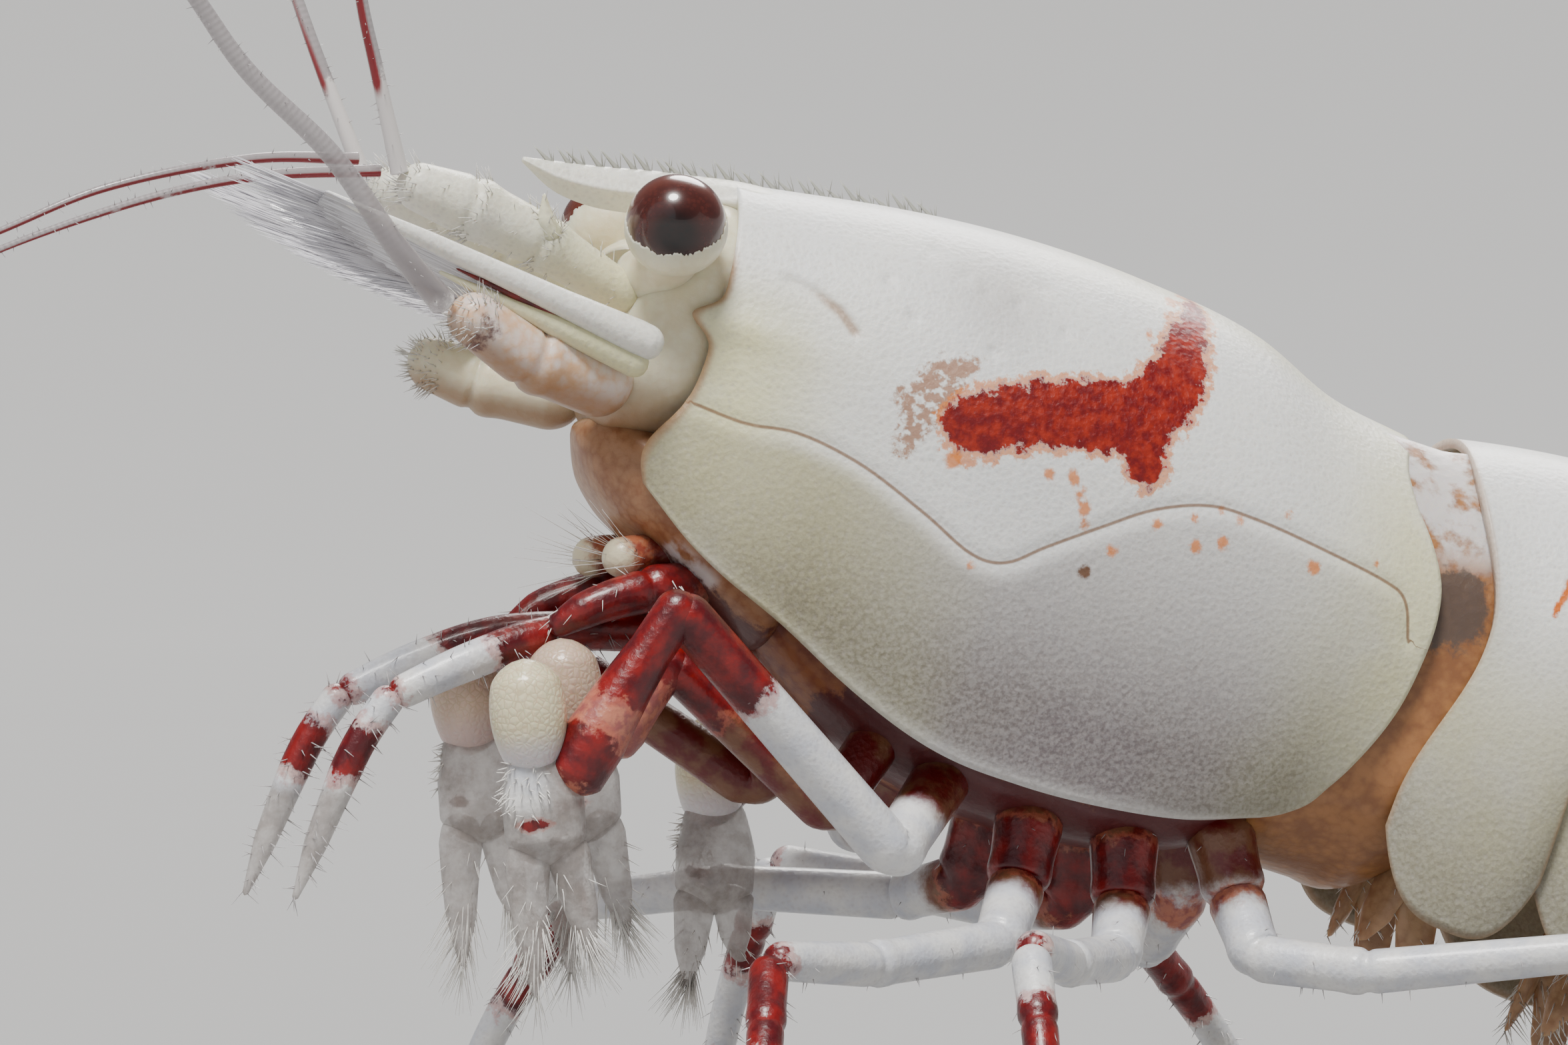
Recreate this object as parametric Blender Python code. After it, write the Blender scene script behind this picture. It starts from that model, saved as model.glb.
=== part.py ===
"""A bee shrimp standing on its six walking legs, head up, as a still model at life size.

Lengths are in millimetres and become metres where a mesh is made. The head points to -X, up is +Z
and the floor is z = 0. The front of the body is drawn in a pitched frame: s runs forward along the
body from the top of the carapace's rear margin, h runs up from there, and y is to the side.
"""
import math

import bmesh
import bpy
import numpy as np
from mathutils import Matrix, Vector

MM = 0.001
GAP = 0.3
SIDES = (("left", -1.0), ("right", 1.0))

# Stance
BODY_PITCH = math.radians(17.5)
BACK_HEIGHT = 9.15

# Carapace, rows of s, height of the back, height of the lower margin and half width
CARAPACE_STATIONS = (
    (0.0, 0.05, -4.20, 2.05),
    (1.0, 0.20, -4.78, 2.20),
    (2.0, 0.58, -5.08, 2.28),
    (3.5, 0.78, -5.22, 2.30),
    (5.0, 0.80, -5.10, 2.22),
    (6.5, 0.66, -4.60, 1.95),
    (7.6, 0.48, -4.02, 1.62),
    (8.3, 0.36, -3.30, 1.36),
)
CARAPACE_LENGTH = 8.3
REAR_BULGE = 0.45
REAR_HEIGHT = 4.25
CHEEK_BULGE = 0.35
WIDEST = 0.45
MARGIN_TUCK = 0.16

# Rows of s, top, bottom and half width for the forms inside the carapace
THORAX_STATIONS = (
    (0.35, -3.3, -4.70, 1.10),
    (1.5, -3.5, -5.28, 1.35),
    (3.1, -3.6, -5.55, 1.40),
    (4.6, -3.5, -5.45, 1.35),
    (5.8, -3.3, -5.05, 1.20),
    (7.0, -3.2, -4.28, 0.95),
)
HEAD_STATIONS = (
    (8.05, -0.85, -2.45, 0.66),
    (8.45, -0.78, -2.60, 0.76),
    (8.75, -0.72, -2.72, 1.05),
    (9.0, -0.80, -2.70, 1.00),
)
MOUTH_STATIONS = (
    (7.32, -3.2, -4.05, 0.55),
    (7.9, -3.1, -4.02, 0.68),
    (8.5, -3.05, -3.85, 0.66),
    (9.0, -3.05, -3.50, 0.50),
    (9.25, -3.08, -3.25, 0.28),
)

# Rostrum, rows of s, top, bottom and half thickness
ROSTRUM_STATIONS = (
    (8.62, 0.32, -0.12, 0.28),
    (9.2, 0.20, -0.28, 0.26),
    (9.8, 0.06, -0.37, 0.23),
    (10.2, -0.02, -0.33, 0.17),
    (10.67, -0.08, -0.14, 0.05),
)

# Teeth along the crest of the carapace and the rostrum, and the spine below each eye
CREST_TEETH = 8
CREST_SPAN = (5.7, 8.05)
ROSTRUM_TEETH = 6
ROSTRUM_SPAN = (8.8, 10.2)
TOOTH_RADIUS = 0.21
TOOTH_LENGTH = 0.40
TOOTH_SINK = 0.2
TOOTH_LEAN = math.radians(24)
TOOTH_VARIETY = 0.12
CHEEK_SPINE = ((8.12, -1.52, 1.20), (8.66, -1.45, 1.46))
CHEEK_SPINE_RADIUS = 0.2

# Eye on its stalk, places as s, h and y
EYE_CENTRE = (9.12, -0.23, 1.50)
EYE_RADIUS = 0.53
STALK_ROOT = (9.0, -0.92, 0.62)
STALK_RADIUS = 0.30

# Feelers, places as s, h and y
ANTENNULE = ((9.38, -1.38, 0.60), (10.34, -0.80, 0.72), (11.22, -0.70, 0.72), (12.02, -0.72, 0.70))
ANTENNULE_RADII = (0.34, 0.35, 0.31, 0.26)
ANTENNA_BASES = {
    "left": ((9.32, -2.42, 1.00), (10.2, -2.50, 1.32), (11.15, -2.18, 1.52)),
    "right": ((9.32, -2.46, 1.00), (10.1, -2.56, 1.28), (10.9, -2.46, 1.38)),
}
ANTENNA_BASE_RADII = (0.40, 0.34, 0.29)
SCALE_ROOT = (9.15, -1.45, 1.42)
SCALE_TIP = (12.98, -1.34, 1.22)
SCALE_WIDTH = 1.0
SCALE_TILT = math.radians(26)
SCALE_THICKNESS = 0.5
SCALE_VANES = 13
SCALE_VANE_LENGTHS = (0.7, 1.1)
VANE_RADIUS = 0.19
BARB = ((9.95, -0.85, 0.93), (10.48, -0.48, 1.02))
BARB_RADIUS = 0.2
FEELER_RADIUS = 0.25
FEELER_ROOT_RADIUS = 0.20
FEELER_TIP_RADIUS = 0.06

# Feeler routes from root to tip as x, y and z
ANTENNULE_WHIPS = {
    "antennule_whip_outer_left": ((-11.86, -0.86, 12.62), (-12.04, -1.00, 13.15), (-12.29, -1.20, 14.11),
                                  (-12.60, -1.60, 15.9), (-13.3, -2.1, 17.8), (-14.5, -2.8, 19.6)),
    "antennule_whip_outer_right": ((-11.94, 0.88, 12.66), (-12.23, 0.92, 13.27), (-12.49, 1.10, 14.11),
                                   (-12.95, 1.60, 15.8), (-13.9, 2.3, 17.6), (-15.3, 3.0, 19.2)),
    "antennule_whip_inner_left": ((-12.1, -0.52, 12.06), (-13.30, -0.50, 12.00), (-14.70, -0.52, 11.69),
                                  (-16.50, -0.70, 11.04), (-18.4, -1.2, 10.1), (-20.3, -2.0, 9.3)),
    "antennule_whip_inner_right": ((-12.1, 0.52, 12.24), (-13.15, 0.50, 12.22), (-14.75, 0.55, 11.89),
                                   (-16.13, 0.70, 11.32), (-18.1, 1.1, 10.6), (-20.0, 1.8, 10.2)),
}
ANTENNA_WHIPS = {
    "antenna_whip_left": ((-11.58, -1.64, 10.70), (-12.06, -2.05, 11.20), (-12.84, -2.25, 12.20),
                          (-13.81, -2.40, 13.10), (-14.60, -2.60, 14.12), (-16.4, -3.3, 16.2),
                          (-18.6, -4.6, 18.0), (-21.2, -6.6, 19.4)),
    "antenna_whip_right": ((-10.75, 2.02, 10.0), (-10.3, 2.75, 10.05), (-9.4, 3.45, 9.85),
                           (-7.9, 4.1, 9.4), (-6.0, 4.8, 8.9), (-2.8, 5.6, 8.0),
                           (0.8, 6.6, 7.0), (4.4, 8.0, 6.0)),
}

# Limb routes on the left as x, y and z, roots on the thorax as s, radii at each place
MAXILLIPED_ROOT = 6.42
MAXILLIPED = ((-8.75, 0.42, 7.02), (-10.02, 0.70, 7.00), (-11.0, 0.85, 6.70), (-11.86, 0.85, 6.32),
              (-12.22, 0.85, 5.80), (-12.60, 0.85, 4.95), (-12.93, 0.85, 4.12))
MAXILLIPED_RADII = (0.27, 0.27, 0.27, 0.25, 0.25, 0.25, 0.25, 0.18, 0.05)
MAXILLIPED_SHIFT = {"left": 0.0, "right": -0.35}

ARM_RADII = (0.32, 0.30, 0.27, 0.25)
CLAW_LEGS = {
    "claw_leg_1_left": {
        "root": 5.12, "arm": ((-6.98, -1.12, 5.04), (-8.78, -1.25, 6.68)),
        "wrist": (-9.62, -1.2, 5.72), "palm": (-10.0, -1.2, 6.55), "tip": (-9.72, -1.18, 3.3),
    },
    "claw_leg_2_left": {
        "root": 4.20, "arm": ((-6.45, -1.86, 4.60), (-8.97, -2.30, 7.30)),
        "wrist": (-10.40, -2.25, 5.15), "palm": (-10.80, -2.22, 6.28), "tip": (-10.62, -2.18, 3.1),
    },
    "claw_leg_1_right": {
        "root": 5.17, "arm": ((-7.3, 1.12, 5.30), (-9.25, 1.28, 6.62)),
        "wrist": (-10.08, 1.26, 5.70), "palm": (-10.5, 1.25, 6.50), "tip": (-10.35, 1.2, 3.3),
    },
    "claw_leg_2_right": {
        "root": 4.20, "arm": ((-5.9, 1.60, 4.75), (-6.2, 3.3, 6.1)),
        "wrist": (-7.7, 2.6, 4.95), "palm": (-7.6, 2.3, 5.65), "tip": (-7.8, 1.9, 3.0),
    },
}
CARPUS_RADII = (0.26, 0.36)
PALM_RADIUS = 0.37
FINGER_RADIUS = 0.24
FINGER_SPREAD = 0.19
BRUSH_LOCKS = 4
BRUSH_LENGTH = 0.42
BRUSH_RADIUS = 0.12
PLUMES = (((8.5, -3.62, 0.42), (9.95, -4.12, 0.62)), ((8.75, -3.42, 0.30), (10.05, -3.80, 0.40)))
PLUME_RADIUS = 0.2

COXA_DROP = 0.35
BEND_REACH = 0.32
LEG_RADII = (0.36, 0.31, 0.28, 0.27)
SHANK_RADII = (0.27, 0.25, 0.25, 0.15)
WALKING_LEGS = {
    "walking_leg_3_left": {
        "root": 3.12, "thigh": ((-5.26, -1.90, 3.61), (-7.02, -3.0, 3.44)), "knee": (-8.42, -4.0, 3.53),
        "foot": (-9.33, -6.4),
    },
    "walking_leg_4_left": {
        "root": 1.99, "thigh": ((-3.90, -1.80, 3.44), (-4.9, -3.3, 3.44)), "knee": (-5.74, -4.8, 3.67),
        "foot": (-6.10, -6.8),
    },
    "walking_leg_5_left": {
        "root": 0.92, "thigh": ((-2.25, -1.75, 3.42), (-1.2, -2.45, 3.28)), "knee": (1.62, -3.55, 3.57),
        "foot": (3.81, -4.9),
    },
    "walking_leg_3_right": {
        "root": 3.12, "thigh": ((-5.3, 1.95, 4.02), (-7.2, 2.95, 4.12)), "knee": (-8.67, 3.7, 3.91),
        "foot": (-10.2, 5.2),
    },
    "walking_leg_4_right": {
        "root": 1.99, "thigh": ((-4.1, 1.95, 3.9), (-5.2, 3.3, 4.15)), "knee": (-6.1, 4.5, 4.35),
        "foot": (-6.6, 6.5),
    },
    "walking_leg_5_right": {
        "root": 0.92, "thigh": ((-2.45, 1.8, 3.45), (-2.1, 3.3, 3.45)), "knee": (-1.6, 5.0, 3.5),
        "foot": (1.0, 6.5),
    },
}
SHANK_BOW = 0.35

# Abdomen, rows of arc length along the back, slope of the back, tilt of the section, half width,
# depth to the lower edge of the side plates and depth to the floor of the belly
ABDOMEN_START = (0.32, 9.20)
ABDOMEN_STATIONS = (
    (0.0, 5.0, 17.5, 2.10, 5.3, 3.3),
    (1.9, 13.0, 16.0, 2.28, 5.75, 3.6),
    (3.4, 17.0, 17.0, 2.35, 6.0, 3.7),
    (4.8, 20.0, 19.5, 2.32, 5.9, 3.7),
    (8.2, 31.0, 30.0, 2.00, 5.1, 3.4),
    (10.5, 34.0, 33.0, 1.70, 4.1, 2.9),
    (12.5, 31.0, 31.0, 1.40, 3.3, 2.5),
    (15.4, 24.0, 25.0, 1.0, 1.85, 1.85),
    (18.7, 12.0, 14.0, 0.60, 0.7, 0.7),
    (20.0, 10.0, 12.0, 0.50, 0.6, 0.6),
)
SOMITE_ENDS = (0.0, 1.9, 4.8, 8.2, 10.5, 12.5, 15.4)
PLATE_WALL = 0.5
PLATE_ROUNDING = 0.16
PLATE_TUCK = 0.14
TELSON_END = 18.7
TELSON_WIDTHS = (0.70, 0.30)
TELSON_DEPTHS = (0.76, 0.48)
TELSON_SPINE_START = 1.2
TELSON_SPINE_STEP = 0.75

SWIMMERET_LENGTHS = (2.4, 2.8, 2.7, 2.2, 1.45)
SWIMMERET_SPREAD = 0.78
SWIMMERET_BRANCHES = ((0.35, 0.10, 1.0), (-0.30, -0.10, 0.85))
SWIMMERET_FRINGE = (-35, 0, 35)
SWIMMERET_FRINGE_LENGTH = 0.45

UROPOD_ROOT = (15.75, 0.60, 1.36)
UROPOD_BLADES = ((math.radians(12), 3.1, 0.56), (math.radians(37), 3.2, 0.62))
BLADE_THICKNESS = 0.5
BLADE_RAY = 0.09
BLADE_VANES = 9
BLADE_VANE_LENGTHS = (0.35, 0.55)
BLADE_FAN = math.radians(43)
TELSON_SPINES = 3
TELSON_SPINE_LENGTH = 0.30
TELSON_SPINE_RADIUS = 0.13
TELSON_END_SPINES = (-0.22, 0.0, 0.22)

# Colours as red, green, blue and roughness
WHITE = (0.86, 0.84, 0.78, 0.35)
CREAM = (0.80, 0.76, 0.60, 0.40)
RED = (0.45, 0.02, 0.03, 0.30)
AMBER = (0.45, 0.25, 0.14, 0.40)
GLASS = (0.60, 0.52, 0.50, 0.25)
MAROON = (0.10, 0.01, 0.02, 0.10)


def clear_scene():
    """Remove every object that the file opened with."""
    for thing in list(bpy.data.objects):
        bpy.data.objects.remove(thing, do_unlink=True)


def front(s, h, y):
    """Turn a place of the pitched front body into x, y and z."""
    x = -s * math.cos(BODY_PITCH) + h * math.sin(BODY_PITCH)
    z = BACK_HEIGHT + s * math.sin(BODY_PITCH) + h * math.cos(BODY_PITCH)
    return x, y, z


def smooth(at, rows, column):
    """Read one column of a table of stations at a place, along a smooth curve through its rows."""
    table = np.array(rows)
    places = table[:, 0]
    values = table[:, column]
    slopes = np.gradient(values, places)
    i = int(np.clip(np.searchsorted(places, at) - 1, 0, len(places) - 2))
    span = places[i + 1] - places[i]
    t = (at - places[i]) / span
    rise = (2 * t**3 - 3 * t**2 + 1) * values[i] + (3 * t**2 - 2 * t**3) * values[i + 1]
    return rise + span * ((t**3 - 2 * t**2 + t) * slopes[i] + (t**3 - t**2) * slopes[i + 1])


def material(name, finish):
    """Make a plain finish from a red, green, blue and roughness value."""
    made = bpy.data.materials.new(name)
    made.use_nodes = True
    shader = made.node_tree.nodes["Principled BSDF"]
    shader.inputs["Base Color"].default_value = (*finish[:3], 1.0)
    shader.inputs["Roughness"].default_value = finish[3]
    shader.inputs["Metallic"].default_value = 0.0
    return made


def keep_largest(shape):
    """Delete every piece of a mesh in editing but the one that fills the largest box."""
    left = set(shape.verts)
    pieces = []
    while left:
        piece = {left.pop()}
        edge = list(piece)
        while edge:
            vertex = edge.pop()
            for link in vertex.link_edges:
                other = link.other_vert(vertex)
                if other in left:
                    left.discard(other)
                    piece.add(other)
                    edge.append(other)
        pieces.append(piece)
    if len(pieces) == 1:
        return

    def spread(piece):
        places = np.array([v.co[:] for v in piece])
        return np.prod(np.ptp(places, axis=0))

    pieces.sort(key=spread)
    for piece in pieces[:-1]:
        bmesh.ops.delete(shape, geom=list(piece), context="VERTS")


def place_mesh(name, mesh, finish):
    """Put a mesh into the scene as one named object with its own finish."""
    mesh.materials.clear()
    mesh.materials.append(material(name + "_finish", finish))
    mesh.shade_smooth()
    mesh.set_sharp_from_angle(angle=math.radians(40))
    thing = bpy.data.objects.new(name, mesh)
    PARTS.objects.link(thing)
    return thing


def loft(rings, caps=None):
    """Skin a stack of closed rings of points in millimetres into a closed mesh, and fill both ends.

    Each end is one flat face, or the faces whose corners caps gives by their places in the ring.
    """
    rings = np.asarray(rings, dtype=float) * MM
    count, around = rings.shape[:2]
    shape = bmesh.new()
    rows = [[shape.verts.new(place) for place in ring] for ring in rings]
    for lower, upper in zip(rows[:-1], rows[1:]):
        for i in range(around):
            j = (i + 1) % around
            shape.faces.new((lower[i], lower[j], upper[j]))
            shape.faces.new((lower[i], upper[j], upper[i]))
    for row in (rows[0], rows[-1]):
        for corners in caps or [range(around)]:
            shape.faces.new([row[i] for i in corners])
    bmesh.ops.recalc_face_normals(shape, faces=shape.faces)
    mesh = bpy.data.meshes.new("loft")
    shape.to_mesh(mesh)
    shape.free()
    return mesh


def oval_ring(s, top, bottom, half_width, power, around):
    """Give one rounded section of the front body, an ellipse whose corners fill out with the power."""
    angles = np.arange(around) * 2 * math.pi / around + math.pi / around
    round_y = np.sign(np.cos(angles)) * np.abs(np.cos(angles)) ** (2 / power)
    round_h = np.sign(np.sin(angles)) * np.abs(np.sin(angles)) ** (2 / power)
    middle = (top + bottom) / 2
    half = (top - bottom) / 2
    return [front(s, middle + half * h, half_width * y) for y, h in zip(round_y, round_h)]


def inner_form(rows, grow=0.0, steps=7, power=3.2, around=14):
    """Loft one of the forms under the carapace, or its larger copy that clears room for it."""
    first, last = rows[0][0], rows[-1][0]
    rings = []
    for s in np.linspace(first, last, steps):
        top, bottom, half_width = (smooth(s, rows, column) for column in (1, 2, 3))
        stretch = grow * (1 if s == last else -1 if s == first else 0)
        rings.append(oval_ring(s + stretch, top + grow, bottom - grow, half_width + grow, power, around))
    return loft(rings)


def tube(points, radii, sides=2):
    """Run a round bar along points given in millimetres, with its own radius at each, as a closed mesh."""
    curve = bpy.data.curves.new("bar", "CURVE")
    curve.dimensions = "3D"
    curve.bevel_depth = MM
    curve.bevel_resolution = sides
    curve.use_fill_caps = True
    spline = curve.splines.new("POLY")
    spline.points.add(len(points) - 1)
    for point, place, radius in zip(spline.points, points, radii):
        point.co = (place[0] * MM, place[1] * MM, place[2] * MM, 1.0)
        point.radius = radius
    guide = bpy.data.objects.new("bar", curve)
    GUIDES.objects.link(guide)
    depsgraph = bpy.context.evaluated_depsgraph_get()
    mesh = bpy.data.meshes.new_from_object(guide.evaluated_get(depsgraph))
    bpy.data.objects.remove(guide, do_unlink=True)
    shape = bmesh.new()
    shape.from_mesh(mesh)
    bmesh.ops.remove_doubles(shape, verts=shape.verts, dist=0.002 * MM)
    bmesh.ops.recalc_face_normals(shape, faces=shape.faces)
    shape.to_mesh(mesh)
    shape.free()
    return mesh


def spread_radii(points, radii):
    """Share the radii given for the first to the last place evenly out over a finer route."""
    return np.interp(np.linspace(0, 1, len(points)), np.linspace(0, 1, len(radii)), radii)


def curved(points, steps):
    """Pass one smooth curve through the places of a route, with the same steps in each stretch."""
    places = np.array(points, dtype=float)
    slopes = np.gradient(places, axis=0)
    route = [places[0]]
    for i in range(len(places) - 1):
        for t in np.arange(1, steps + 1) / steps:
            blend = (2 * t**3 - 3 * t**2 + 1) * places[i] + (3 * t**2 - 2 * t**3) * places[i + 1]
            blend = blend + (t**3 - 2 * t**2 + t) * slopes[i] + (t**3 - t**2) * slopes[i + 1]
            route.append(blend)
    return np.array(route)


def between(start, end, share):
    """Give the place a share of the way from one place to another."""
    return tuple(np.array(start) * (1 - share) + np.array(end) * share)


def shortened(route, start=0.0, end=0.0):
    """Take a length off each end of a route, so that it stops short of its neighbours."""
    route = np.array(route, dtype=float)
    for index, other, length in ((0, 1, start), (-1, -2, end)):
        way = route[other] - route[index]
        route[index] += way / np.linalg.norm(way) * length
    return route


def fuse(meshes):
    """Join closed meshes that overlap into one closed mesh, and keep its largest surface."""
    workshop = bpy.data.collections.new("workshop")
    bpy.context.scene.collection.children.link(workshop)
    base = bpy.data.objects.new("base", meshes[0])
    GUIDES.objects.link(base)
    for mesh in meshes[1:]:
        workshop.objects.link(bpy.data.objects.new("piece", mesh))
    join = base.modifiers.new("join", "BOOLEAN")
    join.operation = "UNION"
    join.operand_type = "COLLECTION"
    join.collection = workshop
    join.solver = "EXACT"
    depsgraph = bpy.context.evaluated_depsgraph_get()
    joined = bpy.data.meshes.new_from_object(base.evaluated_get(depsgraph))
    for piece in list(workshop.objects):
        bpy.data.objects.remove(piece, do_unlink=True)
    bpy.data.objects.remove(base, do_unlink=True)
    bpy.data.collections.remove(workshop)
    return tidied(joined)


def tidied(mesh):
    """Weld a cut or joined mesh, drop its scraps and keep one closed surface."""
    shape = bmesh.new()
    shape.from_mesh(mesh)
    bmesh.ops.remove_doubles(shape, verts=shape.verts, dist=0.0005 * MM)
    keep_largest(shape)
    bmesh.ops.triangulate(shape, faces=shape.faces)
    shape.to_mesh(mesh)
    shape.free()
    return mesh


def cut_away(mesh, cutters):
    """Take closed cutter meshes away from a mesh, one after another."""
    base = bpy.data.objects.new("base", mesh)
    GUIDES.objects.link(base)
    made = []
    for cutter_mesh in cutters:
        cutter = bpy.data.objects.new("cutter", cutter_mesh)
        cutter.hide_render = True
        cutter.display_type = "WIRE"
        GUIDES.objects.link(cutter)
        made.append(cutter)
        cut = base.modifiers.new("cut", "BOOLEAN")
        cut.operation = "DIFFERENCE"
        cut.solver = "EXACT"
        cut.object = cutter
    depsgraph = bpy.context.evaluated_depsgraph_get()
    result = bpy.data.meshes.new_from_object(base.evaluated_get(depsgraph))
    for thing in (base, *made):
        bpy.data.objects.remove(thing, do_unlink=True)
    return tidied(result)


def ball(centre, radius, segments=14, rings=9):
    """Make a sphere at a place given in millimetres."""
    shape = bmesh.new()
    bmesh.ops.create_uvsphere(shape, u_segments=segments, v_segments=rings, radius=radius * MM)
    bmesh.ops.translate(shape, verts=shape.verts, vec=[c * MM for c in centre])
    mesh = bpy.data.meshes.new("ball")
    shape.to_mesh(mesh)
    shape.free()
    return mesh


def spine(root, tip, radius, sides=4):
    """Make one tapered spine, tooth or vane from its root to its point, places in millimetres."""
    way = Vector(tip) - Vector(root)
    shape = bmesh.new()
    bmesh.ops.create_cone(shape, cap_ends=True, segments=sides, radius1=radius * MM, radius2=0.0,
                          depth=way.length * MM)
    turn = way.to_track_quat("Z", "Y").to_matrix().to_4x4()
    middle = (Vector(root) + way / 2) * MM
    bmesh.ops.transform(shape, verts=shape.verts, matrix=Matrix.Translation(middle) @ turn)
    mesh = bpy.data.meshes.new("spine")
    shape.to_mesh(mesh)
    shape.free()
    return mesh


def crest_teeth(rows, span, count):
    """A row of teeth along the middle of the back, leaning forward, each a little unlike the next."""
    teeth = []
    for i, s in enumerate(np.linspace(*span, count)):
        top = smooth(s, rows, 1)
        length = TOOTH_LENGTH * (1 + TOOTH_VARIETY * math.sin(2.4 * i))
        tip = front(s + length * math.cos(TOOTH_LEAN), top + length * math.sin(TOOTH_LEAN), 0)
        radius = min(TOOTH_RADIUS, smooth(s, rows, 3))
        teeth.append(spine(front(s, top - TOOTH_SINK, 0), tip, radius))
    return teeth


def rear_bulge(drop):
    """Give how far the carapace's rear margin bows backward at a share of its height from the top."""
    return REAR_BULGE * np.sin(math.pi * np.clip(drop, 0, 1)) ** 2


def flank(drop, tuck):
    """Give the half width of a vaulted section at a share of its height, 1 at its widest."""
    if drop < WIDEST:
        return math.sqrt(max(0.0, 1 - ((WIDEST - drop) / WIDEST) ** 2))
    return 1 - tuck * ((drop - WIDEST) / (1 - WIDEST)) ** 2


def vault(tuck, over=6, down=4):
    """Give the drops and half widths of a vaulted section's left side, from the top to the lower edge."""
    turns = np.linspace(0, math.pi / 2, over)
    drops = list(WIDEST * (1 - np.cos(turns)))
    drops += list(np.linspace(WIDEST, 1, down + 1)[1:])
    return [(drop, flank(drop, tuck)) for drop in drops]


def rungs(first, last, count):
    """Close a section that is alike left and right with strips across it, from one rung to another."""
    strips = [(0, 1, count - 1)] if first == 0 else []
    return strips + [(i, i + 1, count - i - 1, count - i) for i in range(max(first, 1), last)]


def make_carapace():
    """The shield over head and thorax, vaulted, with bowed rear margin, hollowed for what it covers."""
    rings = []
    half_section = vault(MARGIN_TUCK)
    for share in np.linspace(0, 1, 12):
        s = share * CARAPACE_LENGTH
        top, bottom, half_width = (smooth(s, CARAPACE_STATIONS, column) for column in (1, 2, 3))
        ring = []
        for drop, wide in half_section:
            cheek = CHEEK_BULGE * math.exp(-((drop - 0.88) / 0.14) ** 2)
            shift = share**3 * cheek - (1 - share) ** 3 * rear_bulge(drop)
            ring.append((s + shift, top + (bottom - top) * drop, half_width * wide))
        mirrored = [(s_at, h, -y) for s_at, h, y in reversed(ring[1:])]
        rings.append([front(*place) for place in ring + mirrored])
    hollows = [inner_form(rows, GAP) for rows in (THORAX_STATIONS, HEAD_STATIONS, MOUTH_STATIONS)]
    around = len(rings[0])
    solid = loft(rings, rungs(0, around // 2, around))
    teeth = crest_teeth(CARAPACE_STATIONS, CREST_SPAN, CREST_TEETH)
    for _, sign in SIDES:
        teeth.append(spine(*(front(s, h, y * sign) for s, h, y in CHEEK_SPINE), CHEEK_SPINE_RADIUS))
    place_mesh("carapace", fuse([cut_away(solid, hollows), *teeth]), WHITE)


def make_rostrum():
    """The upright blade between the eyes, narrowing to a point."""
    rings = []
    for s, top, bottom, half in ROSTRUM_STATIONS:
        middle = (top + bottom) / 2
        outline = ((top, 0.35), (top, -0.35), (middle, -1), (bottom, -0.3), (bottom, 0.3), (middle, 1))
        rings.append([front(s, h, half * y) for h, y in outline])
    teeth = crest_teeth(ROSTRUM_STATIONS, ROSTRUM_SPAN, ROSTRUM_TEETH)
    place_mesh("rostrum", fuse([loft(rings), *teeth]), WHITE)


def make_eye(side, sign):
    """One eye on its short stalk."""
    s, h, y = EYE_CENTRE
    root_s, root_h, root_y = STALK_ROOT
    root = front(root_s + 0.25, root_h, root_y * sign)
    cup = front(s, h, y * sign)
    start = between(root, cup, 0.30)
    route = [start, between(root, cup, 0.6), between(root, cup, 0.95)]
    stalk = tube(route, (STALK_RADIUS, 0.38, 0.40))
    place_mesh("eye_" + side, fuse([ball(cup, EYE_RADIUS), stalk]), MAROON)


def make_feelers(side, sign):
    """The antennule and the antenna's base on one side, with their whips."""
    route = [front(s, h, y * sign) for s, h, y in ANTENNULE]
    barb = spine(*(front(s, h, y * sign) for s, h, y in BARB), BARB_RADIUS)
    place_mesh("antennule_" + side, fuse([tube(route, ANTENNULE_RADII), barb]), WHITE)
    route = [front(s, h, y * sign) for s, h, y in ANTENNA_BASES[side]]
    place_mesh("antenna_base_" + side, tube(route, ANTENNA_BASE_RADII), CREAM)
    place_mesh("antenna_scale_" + side, antenna_scale(sign), WHITE)
    for length in ("inner", "outer"):
        name = f"antennule_whip_{length}_{side}"
        route = curved(ANTENNULE_WHIPS[name], 2)
        radii = spread_radii(route, (FEELER_ROOT_RADIUS, FEELER_RADIUS, FEELER_RADIUS, FEELER_TIP_RADIUS))
        place_mesh(name, tube(route, radii, 1), GLASS)
    route = curved(ANTENNA_WHIPS["antenna_whip_" + side], 3)
    half = len(route) // 2
    radii = (FEELER_ROOT_RADIUS, FEELER_RADIUS)
    near = shortened(route[:half + 1], end=GAP / 2)
    place_mesh(f"antenna_whip_{side}_near", tube(near, spread_radii(near, radii), 1), GLASS)
    far = shortened(route[half:], start=GAP / 2)
    radii = (FEELER_RADIUS, FEELER_RADIUS, FEELER_TIP_RADIUS)
    place_mesh(f"antenna_whip_{side}_far", tube(far, spread_radii(far, radii), 1), GLASS)


def scale_width(share):
    """Give the width of the antenna's scale at a share of its length, round at the tip."""
    width = SCALE_WIDTH * (0.32 + 0.68 * math.sin(math.pi * min(1, share * 1.15) * 0.5))
    return width * math.sqrt(max(0.06, 1 - max(0.0, share - 0.6) ** 2 / 0.165))


def scale_place(share, inward, rise, sign):
    """Give a place on the antenna's scale, inward from its outer edge and risen from its middle."""
    s, h, y = np.array(SCALE_ROOT) * (1 - share) + np.array(SCALE_TIP) * share
    drop = inward * math.sin(SCALE_TILT)
    return front(s, h - drop + rise, (y + 0.25 - inward * math.cos(SCALE_TILT)) * sign)


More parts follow.
